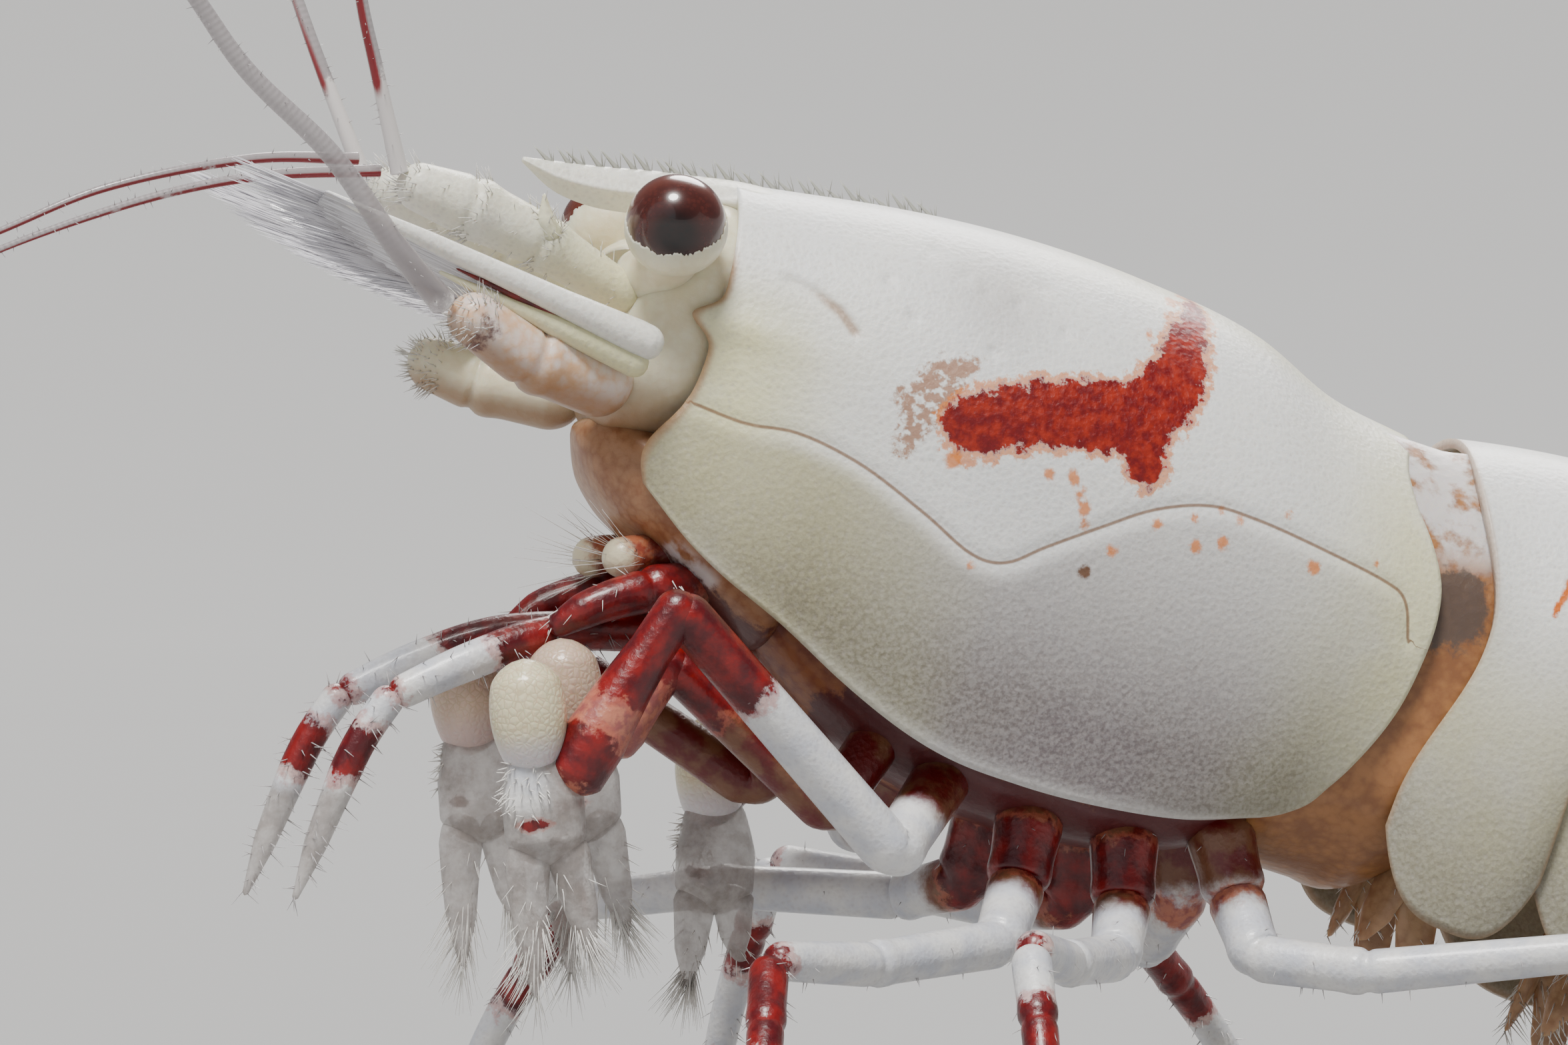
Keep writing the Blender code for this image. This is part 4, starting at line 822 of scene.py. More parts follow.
class Nodes:
    """Build a material's or a group's nodes in a row, with short calls for the ones used often."""

    def __init__(self, tree):
        self.tree = tree

    def put(self, socket, value):
        """Link a socket to another node's output, or set its own value."""
        if isinstance(value, bpy.types.NodeSocket):
            self.tree.links.new(value, socket)
        elif socket.type == "RGBA":
            socket.default_value = (*value, 1.0)
        else:
            socket.default_value = value

    def add(self, kind, **settings):
        """Add a node, set its settings, and fill the inputs that settings name as in_NAME or in_NUMBER."""
        node = self.tree.nodes.new(kind)
        for key, value in settings.items():
            if not key.startswith("in_"):
                setattr(node, key, value)
        for key, value in settings.items():
            if key.startswith("in_"):
                which = key[3:].replace("_", " ")
                self.put(node.inputs[int(which) if which.isdigit() else which], value)
        return node

    def math(self, operation, first, second=0.0):
        """Give the result of a sum on two values."""
        return self.add("ShaderNodeMath", operation=operation, in_0=first, in_1=second).outputs[0]

    def plus(self, first, second):
        """Add two values."""
        return self.math("ADD", first, second)

    def minus(self, first, second):
        """Take the second value from the first."""
        return self.math("SUBTRACT", first, second)

    def times(self, first, second):
        """Multiply two values."""
        return self.math("MULTIPLY", first, second)

    def ramp(self, value, low, high):
        """Give 0 at low and 1 at high, smooth between and level outside."""
        return self.add("ShaderNodeMapRange", interpolation_type="SMOOTHSTEP", in_Value=value,
                        in_From_Min=low, in_From_Max=high).outputs["Result"]

    def mix(self, share, first, second):
        """Mix two colours."""
        node = self.add("ShaderNodeMix", data_type="RGBA")
        factor = next(socket for socket in node.inputs if socket.name == "Factor" and socket.type == "VALUE")
        colours = [socket for socket in node.inputs if socket.type == "RGBA"]
        for socket, value in zip((factor, *colours), (share, first, second)):
            self.put(socket, value)
        return next(socket for socket in node.outputs if socket.type == "RGBA")

    def over(self, colour, layer, mask, strength):
        """Lay a second colour over a first where the mask is high, at most at the given strength."""
        return self.mix(self.times(mask, strength), colour, layer)

    def mark(self, name):
        """Read one of the mesh's own marks."""
        return self.add("ShaderNodeAttribute", attribute_name=name).outputs["Fac"]

    def noise(self, scale, detail=4.0, rough=0.55):
        """Give a noise value over the object's own places."""
        place = self.add("ShaderNodeTexCoord").outputs["Object"]
        return self.add("ShaderNodeTexNoise", in_Vector=place, in_Scale=scale, in_Detail=detail,
                        in_Roughness=rough).outputs["Fac"]

    def patches(self, scale, low, high, detail=4.0, rough=0.55):
        """Give scattered patches: 0 where the noise is at low and 1 where it is at high."""
        return self.ramp(self.noise(scale, detail, rough), low, high)

    def cells(self, scale, feature="F1"):
        """Give the distance from the middles or the edges of scattered cells."""
        place = self.add("ShaderNodeTexCoord").outputs["Object"]
        return self.add("ShaderNodeTexVoronoi", feature=feature, in_Vector=place,
                        in_Scale=scale).outputs["Distance"]

    def bump(self, shader, height, strength, depth):
        """Raise and sink the shader's surface with a height, by so many millimetres."""
        node = self.add("ShaderNodeBump", in_Height=height, in_Strength=strength, in_Distance=depth * MM)
        self.put(shader.inputs["Normal"], node.outputs["Normal"])


def group(name, inputs, outputs):
    """Start a shader node group with named value sockets, and give its tree, nodes, inputs and outputs."""
    tree = bpy.data.node_groups.new(name, "ShaderNodeTree")
    for label, value in inputs.items():
        socket = tree.interface.new_socket(name=label, in_out="INPUT", socket_type="NodeSocketFloat")
        socket.default_value = value
    for label in outputs:
        tree.interface.new_socket(name=label, in_out="OUTPUT", socket_type="NodeSocketFloat")
    given = tree.nodes.new("NodeGroupInput").outputs
    return tree, Nodes(tree), given, tree.nodes.new("NodeGroupOutput").inputs


def pigment_group():
    """An effect for pigment that ends in a ragged line: a mark's depth, stirred by noise, becomes a mask.

    It puts out the mask of the pigment and a thin mask round its edge.
    """
    tree, nodes, given, out = group(
        "ragged pigment",
        {"Depth": 0.0, "Raggedness": 0.1, "Scale": 4000.0, "Softness": 0.05, "Edge Width": 0.08},
        ("Mask", "Edge"))
    shifted = nodes.minus(nodes.noise(given["Scale"], 5.0, 0.7), 0.5)
    stirred = nodes.times(shifted, nodes.times(given["Raggedness"], 4.0))
    depth = nodes.plus(given["Depth"], stirred)
    low = nodes.times(given["Softness"], -1.0)
    mask = nodes.ramp(depth, low, given["Softness"])
    halo = nodes.ramp(nodes.plus(depth, given["Edge Width"]), low, given["Softness"])
    nodes.put(out["Mask"], mask)
    nodes.put(out["Edge"], nodes.minus(halo, mask))
    return tree


def grain_group():
    """The fine grain of a living shell: a value that lightens and darkens it, and a height for bump."""
    tree, nodes, given, out = group("shell grain", {"Scale": 9000.0, "Strength": 0.5}, ("Tone", "Height"))
    both = nodes.plus(nodes.times(nodes.cells(given["Scale"]), 0.6), nodes.noise(given["Scale"], 6.0, 0.65))
    nodes.put(out["Tone"], nodes.times(nodes.minus(both, 0.8), given["Strength"]))
    nodes.put(out["Height"], both)
    return tree


PIGMENT = pigment_group()
GRAIN = grain_group()


def start_material(name, **constants):
    """Start a material, set its shader's own sockets, and give its nodes and its shader."""
    made = bpy.data.materials.new(name)
    made.use_nodes = True
    shader = made.node_tree.nodes["Principled BSDF"]
    for label, value in constants.items():
        shader.inputs[label.replace("_", " ")].default_value = value
    return made, Nodes(made.node_tree), shader


def use_pigment(nodes, mark, raggedness, scale, softness=0.03, edge=0.06):
    """Place the ragged pigment effect on one of the mesh's marks, and give its mask and edge."""
    node = nodes.add("ShaderNodeGroup", node_tree=PIGMENT, in_Depth=nodes.mark(mark),
                     in_Raggedness=raggedness, in_Scale=scale, in_Softness=softness, in_Edge_Width=edge)
    return node.outputs["Mask"], node.outputs["Edge"]


def use_grain(nodes, shader, scale, strength, depth):
    """Place the grain effect, bump the shader with it, and give its tone."""
    node = nodes.add("ShaderNodeGroup", node_tree=GRAIN, in_Scale=scale, in_Strength=strength)
    nodes.bump(shader, node.outputs["Height"], 0.6, depth)
    return node.outputs["Tone"]


def shaded_grain(nodes, colour, tone, shade):
    """Darken a colour in the low places of the grain."""
    darker = nodes.math("MAXIMUM", nodes.times(tone, -1.6), 0.0)
    return nodes.mix(darker, colour, shade)


def shell_material(name, marked):
    """Porcelain-white living shell with cream, crimson, orange and brown marks, and a grey-violet haze that
    is partly its own tone and partly painted shade.
    """
    made, nodes, shader = start_material(
        name, Roughness=0.40, Subsurface_Weight=0.25, Subsurface_Scale=0.25 * MM,
        Subsurface_Radius=(1.0, 0.75, 0.55), Coat_Weight=0.15, Coat_Roughness=0.2, IOR=1.45)
    tone = use_grain(nodes, shader, 15000.0, 0.5, 0.018)
    colour = nodes.over(WHITE, COOL_WHITE, nodes.patches(900.0, 0.25, 0.75), 0.30)
    cream = nodes.times(nodes.mark("cream"), nodes.patches(700.0, 0.1, 0.6))
    colour = nodes.mix(cream, colour, CREAM)
    # The haze is partly the shell's own grey-violet and moss tone and partly painted shade, strongest where
    # the marks put it low on the flanks.
    green = nodes.plus(nodes.mark("cream"), nodes.times(nodes.noise(420.0, 2.0), 0.7))
    haze_and_shade = nodes.mix(nodes.ramp(green, 0.30, 0.75), LILAC_AND_SHADE, MOSS_AND_SHADE)
    flecks = nodes.patches(21000.0, 0.36, 0.62, 3.0, 0.6)
    frost = nodes.times(nodes.mark("lilac_and_shade"), nodes.minus(0.92, nodes.times(flecks, 0.14)))
    colour = shaded_grain(nodes, nodes.mix(frost, colour, haze_and_shade), tone, SHELL_SHADE)
    if marked:
        brown, _ = use_pigment(nodes, "patch", 0.14, 7000.0, 0.05)
        streaks = nodes.times(brown, nodes.patches(11000.0, 0.36, 0.52, 2.0))
        colour = nodes.over(colour, PATCH_BROWN, streaks, 0.85)
        dots, _ = use_pigment(nodes, "dots", 0.05, 8000.0)
        colour = nodes.over(colour, ORANGE, dots, 0.85)
        dot, _ = use_pigment(nodes, "dark_dot", 0.04, 9000.0)
        colour = nodes.mix(dot, colour, BROWN)
        red, rim = use_pigment(nodes, "red", 0.13, 5500.0, edge=0.08)
        colour = nodes.over(colour, ORANGE, rim, 0.75)
        crimson = nodes.mix(nodes.patches(7000.0, 0.35, 0.70), CRIMSON, SCARLET)
        colour = nodes.mix(red, colour, crimson)
        colour = nodes.over(colour, FURROW_BROWN, nodes.ramp(nodes.mark("furrow"), 0.0, 1.0), 0.75)
        line = nodes.ramp(nodes.math("ABSOLUTE", nodes.mark("groove")), 0.030, 0.008)
        colour = nodes.over(colour, GROOVE_BROWN, line, 0.85)
    streak, _ = use_pigment(nodes, "streak", 0.06, 6000.0)
    colour = nodes.mix(streak, colour, STREAK_ORANGE)
    colour = nodes.over(colour, RIM_BROWN, nodes.ramp(nodes.mark("rim"), 0.0, 1.0), 0.85)
    nodes.put(shader.inputs["Base Color"], colour)
    return made


def limb_material(name):
    """A limb that runs from opaque white through ragged crimson bands to glassy ends."""
    made, nodes, shader = start_material(name, Roughness=0.33, Coat_Weight=0.25, Coat_Roughness=0.14)
    tone = use_grain(nodes, shader, 16000.0, 0.5, 0.012)
    white = nodes.mix(nodes.patches(2500.0, 0.3, 0.7), LIMB_WHITE, LIMB_GREY)
    white = shaded_grain(nodes, white, tone, LIMB_SHADE)
    white = nodes.mix(nodes.ramp(nodes.mark("cream"), 0.0, 1.0), white, LIMB_CREAM)
    amber, _ = use_pigment(nodes, "amber", 0.12, 3000.0, 0.15)
    colour = nodes.mix(amber, white, nodes.mix(nodes.patches(2600.0, 0.4, 0.58), AMBER, AMBER_STAIN))
    orange, _ = use_pigment(nodes, "orange", 0.15, 4500.0, 0.10)
    glow = nodes.mix(nodes.patches(8000.0, 0.40, 0.60), GLOW_ORANGE, GLOW_RED)
    colour = nodes.over(colour, glow, orange, 0.9)
    clear, _ = use_pigment(nodes, "clear", 0.08, 4000.0, 0.12)
    glass = nodes.mix(nodes.patches(3600.0, 0.36, 0.66, 5.0, 0.65), GLASS_DARK, GLASS_PALE)
    colour = nodes.over(colour, glass, clear, 0.90)
    red, rim = use_pigment(nodes, "red", 0.16, 5000.0, 0.05, 0.10)
    colour = nodes.over(colour, BLOOD_RIM, rim, 0.5)
    colour = nodes.mix(red, colour, nodes.mix(nodes.patches(3500.0, 0.35, 0.68), BLOOD, BLOOD_PALE))
    nodes.put(shader.inputs["Base Color"], colour)
    speck = nodes.patches(8000.0, 0.30, 0.70, 3.0)
    thin = nodes.times(clear, nodes.minus(0.46, nodes.times(speck, 0.16)))
    thin = nodes.times(thin, nodes.minus(1.0, red))
    nodes.put(shader.inputs["Alpha"], nodes.minus(1.0, thin))
    return made


def honeycomb_material():
    """The creamy bulb of a claw's palm, with a net of darker lines between its cells."""
    made, nodes, shader = start_material("palm", Roughness=0.35, Subsurface_Weight=0.3,
                                         Subsurface_Scale=0.2 * MM, Coat_Weight=0.4, Coat_Roughness=0.1)
    net = nodes.cells(13500.0, "DISTANCE_TO_EDGE")
    colour = nodes.mix(nodes.ramp(nodes.mark("along"), 0.70, 1.1), PALM_CREAM, PALM_GREY)
    colour = nodes.mix(nodes.mark("pink"), colour, PALM_PINK)
    fade = nodes.ramp(nodes.mark("along"), 0.95, 0.65)
    colour = nodes.over(colour, PALM_LINES, nodes.times(nodes.ramp(net, 0.10, 0.02), fade), 0.42)
    nodes.put(shader.inputs["Base Color"], colour)
    nodes.bump(shader, net, 0.5, 0.03)
    return made


def flesh_material(name, light, dark, patches=0.0, stain=BLOOD):
    """Soft translucent flesh in two tones, shaded, frosted and stained where its marks say so."""
    made, nodes, shader = start_material(
        name, Roughness=0.4, Subsurface_Weight=0.35, Subsurface_Scale=0.3 * MM,
        Subsurface_Radius=(1.0, 0.5, 0.25), Coat_Weight=0.2, Coat_Roughness=0.15)
    tone = use_grain(nodes, shader, 9000.0, 0.4, 0.014)
    colour = nodes.mix(nodes.ramp(nodes.plus(nodes.noise(1500.0), tone), 0.35, 0.7), light, dark)
    colour = nodes.mix(nodes.mark("shade"), colour, FLESH_SHADE)
    frosted = nodes.times(nodes.mark("frost"), nodes.patches(3800.0, 0.34, 0.56))
    colour = nodes.mix(frosted, colour, FLESH_FROST)
    if patches:
        red, _ = use_pigment(nodes, "red", 0.25, 2600.0, 0.08)
        colour = nodes.over(colour, stain, red, patches)
    nodes.put(shader.inputs["Base Color"], colour)
    return made


def feeler_material(name):
    """A greyish clear feeler with fine rings and a crimson line along its lower side."""
    made, nodes, shader = start_material(name, Roughness=0.2, Coat_Weight=0.4, Coat_Roughness=0.08)
    along = nodes.mark("along")
    waves = nodes.math("SINE", nodes.times(along, 2 * math.pi / RING_STEP))
    rings = nodes.times(waves, nodes.ramp(along, 0.6, 3.2))
    colour = nodes.mix(nodes.ramp(rings, -1.0, 1.0), FEELER_GREY, FEELER_RING)
    white, _ = use_pigment(nodes, "white", 0.3, 4000.0, 0.1)
    colour = nodes.mix(white, colour, FEELER_WHITE)
    stripe = nodes.times(nodes.ramp(nodes.mark("stripe"), 0.25, 0.75), nodes.patches(2600.0, 0.28, 0.40))
    colour = nodes.mix(stripe, colour, FEELER_STRIPE)
    nodes.put(shader.inputs["Base Color"], colour)
    glass = nodes.plus(0.62, nodes.times(rings, 0.06))
    solid = nodes.math("MAXIMUM", nodes.math("MAXIMUM", white, stripe), glass)
    nodes.put(shader.inputs["Alpha"], solid)
    return made


def hair_material(name, colour):
    """Fine hair, paler toward its tip."""
    made, nodes, shader = start_material(name, Roughness=0.35)
    tip = tuple(min(1.0, value * 1.3) for value in colour)
    nodes.put(shader.inputs["Base Color"], nodes.mix(nodes.mark("along"), colour, tip))
    return made


def blade_material():
    """The thin blade beside an antenna: milky, with fine lines that run along it like brushed glass."""
    made, nodes, shader = start_material("scale blade", Roughness=0.25, Coat_Weight=0.5, Coat_Roughness=0.1)
    place = nodes.add("ShaderNodeCombineXYZ", in_X=nodes.times(nodes.mark("share"), 6.0),
                      in_Y=nodes.times(nodes.mark("inward"), 42.0))
    lines = nodes.add("ShaderNodeTexNoise", in_Vector=place.outputs[0], in_Scale=1.0, in_Detail=3.0)
    streak = nodes.ramp(lines.outputs["Fac"], 0.35, 0.65)
    nodes.put(shader.inputs["Base Color"], nodes.mix(streak, BLADE_DARK, BLADE_PALE))
    nodes.put(shader.inputs["Alpha"], nodes.plus(0.55, nodes.times(streak, 0.4)))
    return made


def eye_material():
    """A glossy dark maroon cornea with a fine net of facets and a near-black middle."""
    made, nodes, shader = start_material("cornea", Roughness=0.25, Coat_Weight=0.7, Coat_Roughness=0.03,
                                         IOR=1.45)
    stirred = nodes.plus(nodes.mark("pupil"), nodes.times(nodes.noise(5000.0), 0.12))
    colour = nodes.mix(nodes.ramp(stirred, 0.28, 0.85), PUPIL, MAROON)
    colour = nodes.over(colour, FACET_LINES, nodes.ramp(nodes.cells(19000.0), 0.25, 0.6), 0.35)
    colour = nodes.over(colour, CORNEA_RIM, nodes.ramp(nodes.mark("pupil"), 0.95, 1.35), 0.5)
    nodes.put(shader.inputs["Base Color"], colour)
    return made


def floor_material():
    """A quiet matt grey for the floor, softly uneven."""
    made, nodes, shader = start_material("pale floor", Roughness=0.85)
    darker = tuple(value * 0.97 for value in FLOOR_GREY)
    nodes.put(shader.inputs["Base Color"], nodes.mix(nodes.noise(40.0), FLOOR_GREY, darker))
    return made


SHELL = shell_material("marked shell", True)
PLATE = shell_material("plain shell", False)
LIMB = limb_material("limb")
THORAX_FLESH = flesh_material("thorax flesh", (0.30, 0.105, 0.035), (0.17, 0.035, 0.016), 0.95)
MOUTH_FLESH = flesh_material("mouth flesh", (0.42, 0.22, 0.11), (0.28, 0.11, 0.045), 0.9)
MEMBRANE = flesh_material("membrane", (0.38, 0.17, 0.06), (0.25, 0.10, 0.035), 0.85, MEMBRANE_STAIN)
HEAD_FLESH = flesh_material("head flesh", (0.78, 0.74, 0.56), (0.72, 0.65, 0.46))
BASE_FLESH = flesh_material("feeler base flesh", (0.74, 0.64, 0.58), (0.68, 0.42, 0.24), 0.8)
PADDLE = flesh_material("paddle flesh", (0.46, 0.29, 0.16), (0.30, 0.16, 0.08))
FEELER = feeler_material("feeler")
HAIR = hair_material("clear hair", (0.46, 0.44, 0.44))
PALE_HAIR = hair_material("pale hair", (0.62, 0.61, 0.65))
BRISTLE = hair_material("bristle", (0.76, 0.74, 0.70))
WHITE_HAIR = hair_material("white hair", (0.66, 0.64, 0.60))
CREST_HAIR = hair_material("crest hair", (0.34, 0.34, 0.30))
PALM = honeycomb_material()
BLADE = blade_material()
CORNEA = eye_material()


def flank(drop, tuck):
    """Give the half width of a vaulted section at a share of its height: a quarter oval, then tucked in."""
    above = np.sqrt(np.clip(1 - ((WIDEST - np.minimum(drop, WIDEST)) / WIDEST) ** 2, 0, 1))
    below = 1 - tuck * ((np.maximum(drop, WIDEST) - WIDEST) / (1 - WIDEST)) ** 2
    return np.where(drop < WIDEST, above, below)


def carapace_place(s, drop, side):
    """Give s, h and y on the carapace: a vault between the back and the margin, bowed at front and rear.

    A cheek and a blunt tooth under the eye stand out of the front margin, and the rear margin
    follows its own table. All three fade out along the shell.
    """
    top, bottom, half_width = (smooth(s, CARAPACE_STATIONS, column) for column in (1, 2, 3))
    share = s / CARAPACE_LENGTH
    height = top + (bottom - top) * drop
    cheek = CHEEK_BULGE * hump(drop, 0.88, 0.14)
    tooth = ORBIT_TOOTH * hump(height, ORBIT_TOOTH_HEIGHT, 0.17)
    shift = share**3 * cheek + share**14 * tooth + (1 - share) ** 3 * smooth(drop, REAR_MARGIN, 1)
    return s + shift, height, half_width * flank(drop, MARGIN_TUCK) * side


def make_carapace():
    """The shield over head and thorax, a thin vaulted wall with a groove, pits and painted marks."""
    s, drop, side = vault_grid(CARAPACE_LENGTH, *SHIELD_GRID)
    reach = smooth(s, MARGIN_REACH, 1)
    drop = drop * reach
    s_at, h_at, y_at = carapace_place(s, drop, side)
    seen = np.stack((s_at, h_at), axis=-1)
    # The groove's distance is above zero over the line and below zero under it
    line = curved(GROOVE, 6)
    above = np.sign(h_at - np.interp(s_at, line[::-1, 0], line[::-1, 1]))
    groove = distance_to_line(seen, line) * above
    furrow = hump(distance_to_line(seen, FRONT_GROOVE), 0, FURROW_WIDTH)
    pits = hump(np.maximum(distance_to_dots(seen, PITS), 0), 0, PIT_WIDTH)
    y_at = y_at * (1 - GROOVE_PINCH * hump(groove, 0, GROOVE_WIDTH))
    y_at = y_at - side * (FURROW_DEPTH * furrow + PIT_DEPTH * pits)
    # Grey-violet haze lies below the groove, most of all low down, and in a hollow high on the front half. It
    # is partly the shell's own tone and partly painted shade: its growth low down stands for the shade on the
    # lower flank.
    below = climb(-groove, 0, 0.25)
    middle = climb(s_at, -0.9, 0.7) * (1 - 0.25 * climb(s_at, 6.6, 7.6))
    low = climb(drop, 0.44, 0.86) * (1 - 0.70 * hump(reach - drop, 0, 0.022))
    hollow = 0.35 * hump(np.hypot(s_at - 5.4, h_at + 0.1), 0, math.sqrt(0.30))
    # Cream lies on the cheek, along the front below the groove, at the rear margin and along the back
    cheek = hump(s_at, 8.0, 1.0) * climb(-h_at, 0.5, 1.3)
    front_low = 0.9 * below * climb(s_at, 4.6, 6.6)
    back_edge = 0.9 * hump(s_at, -0.1, 1.1)
    ridge = 0.6 * hump(drop, 0, 0.05) * climb(s_at, 5.5, 3.5)
    front_edge = hump(s, CARAPACE_LENGTH, 0.07) * climb(drop, 0.18, 0.28)
    patch = open_grid(front(s_at, h_at, y_at), {
        "red": -np.minimum(distance_to_line(seen, RED_MARK), distance_to_line(seen, RED_SPUR)),
        "patch": -distance_to_line(seen, BROWN_PATCH),
        "dots": -distance_to_dots(seen, ORANGE_DOTS),
        "dark_dot": -distance_to_dots(seen, BROWN_DOT),
        "groove": groove,
        "furrow": furrow * np.maximum(climb(s_at, 7.55, 7.15), 0.15),
        "lilac_and_shade": np.clip(below * middle * (0.26 + 0.74 * low) + hollow, 0, 1),
        "cream": np.clip(np.maximum.reduce((cheek, front_low, back_edge, ridge)), 0, 1),
        "rim": front_edge * climb(h_at, -4.0, -3.2),
    })
    make_vault("carapace_shell", patch, SHELL, "carapace")


def inner_body(rows, power):
    """Loft a rounded body along s: each section is an oval whose corners fill out with the power."""
    s = np.linspace(rows[0][0], rows[-1][0], BODY_GRID[0])[:, None]
    top, bottom, half_width = (smooth(s, rows, column) for column in (1, 2, 3))
    cap = rounded((s - s[0]) / BODY_ROUNDING, BODY_END) * rounded((s[-1] - s) / BODY_ROUNDING, BODY_END)
    turn = turns(BODY_GRID[1])
    across, up = signed_power(np.cos(turn), 2 / power), signed_power(np.sin(turn), 2 / power)
    middle, half = (top + bottom) / 2, (top - bottom) / 2
    return closed_grid(front(s, middle + half * up * cap, half_width * across * cap))


def thorax_floor(s):
    """Give the height of the thorax's underside at s."""
    return smooth(s, THORAX_STATIONS, 2)


def make_trunk():
    """The soft body under the shield: thorax floor, head block and mouthparts, each one closed form."""
    thorax = inner_body(THORAX_STATIONS, 2.8)
    roots = np.array([front(s, thorax_floor(s), 0.9 * sign) for s in STAINED_ROOTS for sign in (-1, 1)])
    near = np.min(np.linalg.norm(thorax["points"][:, None] - roots, axis=-1), axis=1)
    thorax["marks"]["red"] = 0.85 - near
    make("thorax_floor", thorax, THORAX_FLESH, ["thorax"])
    head = inner_body(HEAD_STATIONS, 2.6)
    head["marks"]["shade"] = climb(seen_from_side(head["points"])[:, 1], -2.0, -2.7)
    make("head_block", head, HEAD_FLESH, ["head"])
    mouth = inner_body(MOUTH_STATIONS, 2.7)
    mouth["marks"]["red"] = 0.95 - 0.8 * distance_from(mouth, front(*MOUTH_STAIN, 0))
    streak = distance_to_line(seen_from_side(mouth["points"]), MOUTH_STREAK)
    mouth["marks"]["frost"] = climb(streak, 0.10, 0)
    make("mouthpart_block", mouth, MOUTH_FLESH, ["mouthparts"])


def make_rostrum():
    """The upright blade between the eyes: it flares out of the shield, thins to a blade and ends in a point.

    Its sections are ovals, whose sides are drawn in along the blade and swell to a ridge below the middle.
    """
    rows, around = ROSTRUM_GRID
    s = np.linspace(ROSTRUM_STATIONS[0][0], ROSTRUM_STATIONS[-1][0], rows)[:, None]
    top, bottom, half = (smooth(s, ROSTRUM_STATIONS, column) for column in (1, 2, 3))
    across, up = np.cos(turns(around)), np.sin(turns(around))
    flat = climb(s, 8.2, 9.0)
    wide = half * signed_power(across, 1 + 0.6 * flat) * (1 + 0.35 * hump(up, -0.1, 0.16) * flat)
    blade = closed_grid(front(s, (top + bottom) / 2 + (top - bottom) / 2 * up, wide))
    make("rostrum_blade", cover(blade, cream=0.3), PLATE, ["rostrum"])


def make_crest():
    """The teeth along the shield's front and the rostrum, which lean forward, with fine hairs between."""
    at = np.linspace(*CREST_SPAN, CREST_TEETH) + RNG.uniform(-0.02, 0.02, CREST_TEETH)
    top = np.where(at < BLADE_ROOT, smooth(at, CARAPACE_STATIONS, 1), smooth(at, ROSTRUM_STATIONS, 1))
    lean = TOOTH_LEAN + RNG.uniform(-0.12, 0.12, CREST_TEETH)
    length = TOOTH_LENGTH * RNG.uniform(0.85, 1.15, CREST_TEETH)
    roots = front(at, top - 0.06, 0)
    ways = front_way(np.cos(lean), np.sin(lean), RNG.uniform(-0.05, 0.05, CREST_TEETH))
    teeth = hairs(roots, ways, length, TOOTH_RADIUS, rings=5)
    count = CREST_TEETH * CREST_HAIRS
    turn = np.repeat(lean, CREST_HAIRS) + RNG.uniform(0.2, 0.9, count)
    fine = front_way(np.cos(turn), np.sin(turn), RNG.uniform(-0.25, 0.25, count))
    hair = hairs(np.repeat(roots, CREST_HAIRS, axis=0), fine, RNG.uniform(0.14, 0.30, count), 0.009)
    make("crest_teeth", [teeth, hair], CREST_HAIR)


def round_axis(axis, turn):
    """Give the directions square to an axis at the given turns round it."""
    side = unit(np.cross(axis, (0.0, 0.0, 1.0)))
    up = np.cross(side, axis)
    return np.cos(turn)[..., None] * side + np.sin(turn)[..., None] * up


def off_axis(axis, angle, turn):
    """Give directions at an angle from an axis: its cosine of the axis plus its sine of the way round."""
    return np.sin(angle)[..., None] * round_axis(axis, turn) + np.cos(angle)[..., None] * axis


def make_cornea(side, centre, axis, outward):
    """The round eye: a ball with its pole along the axis, marked with the angle from its dark middle."""
    rows, around = EYE_GRID
    down = np.linspace(0.001, math.pi - 0.001, rows)[:, None]
    cornea = closed_grid(centre + off_axis(axis, down, turns(around)) * EYE_RADIUS)
    away = (cornea["points"] - centre) / EYE_RADIUS
    pupil_way = unit(outward + np.array((0, 0, -0.20)))
    cornea["marks"]["pupil"] = np.arccos(np.clip(away @ pupil_way, -1, 1))
    make("cornea_" + side, cornea, CORNEA)


def make_eye(side, sign):
    """One eye: a round cornea that looks up and out, in a cream cup with a ragged rim, on a short stalk.

    The cup is a slightly larger ball from its rim down. The stalk runs straight from there to its
    root, and its rings turn from the cup's directions to its own over the first stretch.
    """
    centre, root = front_side(EYE_CENTRE, sign), front_side(STALK_ROOT, sign)
    outward = np.array((-math.sin(CAMERA_TURN), sign * math.cos(CAMERA_TURN), 0.0))
    axis = (outward + np.array((0, 0, 1.0))) / math.sqrt(2)
    make_cornea(side, centre, axis, outward)
    turn = turns(CUP_AROUND)
    ragged = CUP_RIM + np.radians(2.2) * RNG.uniform(-1, 1, CUP_AROUND) + np.radians(1.5) * np.sin(turn * 9)
    share = np.linspace(0, 1, CUP_ROWS)[:, None]
    bowl = CUP_RADIUS * (1 + 0.03 * np.sin(math.pi * share))
    angle = ragged * (1 - share) + CUP_END * share
    shell = centre + off_axis(axis, angle, turn) * bowl[..., None]
    inner = centre + off_axis(axis, ragged, turn) * EYE_RADIUS * 0.96
    share = np.linspace(0.12, 1, STALK_ROWS)[:, None, None]
    line = (centre - axis * CUP_RADIUS * 0.83) * (1 - share) + root * share
    blend = np.clip(share * 2.5, 0, 1)
    ring = round_axis(unit(centre - root), turn) * blend + round_axis(axis, turn) * (1 - blend)
    cup = closed_grid(np.concatenate((inner[None], shell, line + ring * (0.31 + 0.07 * share))))
    make("eye_stalk_" + side, cup, HEAD_FLESH, ["eye_" + side])


def bands(along, stretches):
    """Give how deep each place lies inside any of the stretches along a limb, below zero outside them."""
    depth = np.full(len(along), OUTSIDE)
    for start, end in stretches:
        depth = np.maximum(depth, np.minimum(along - start, end - along))
    return depth


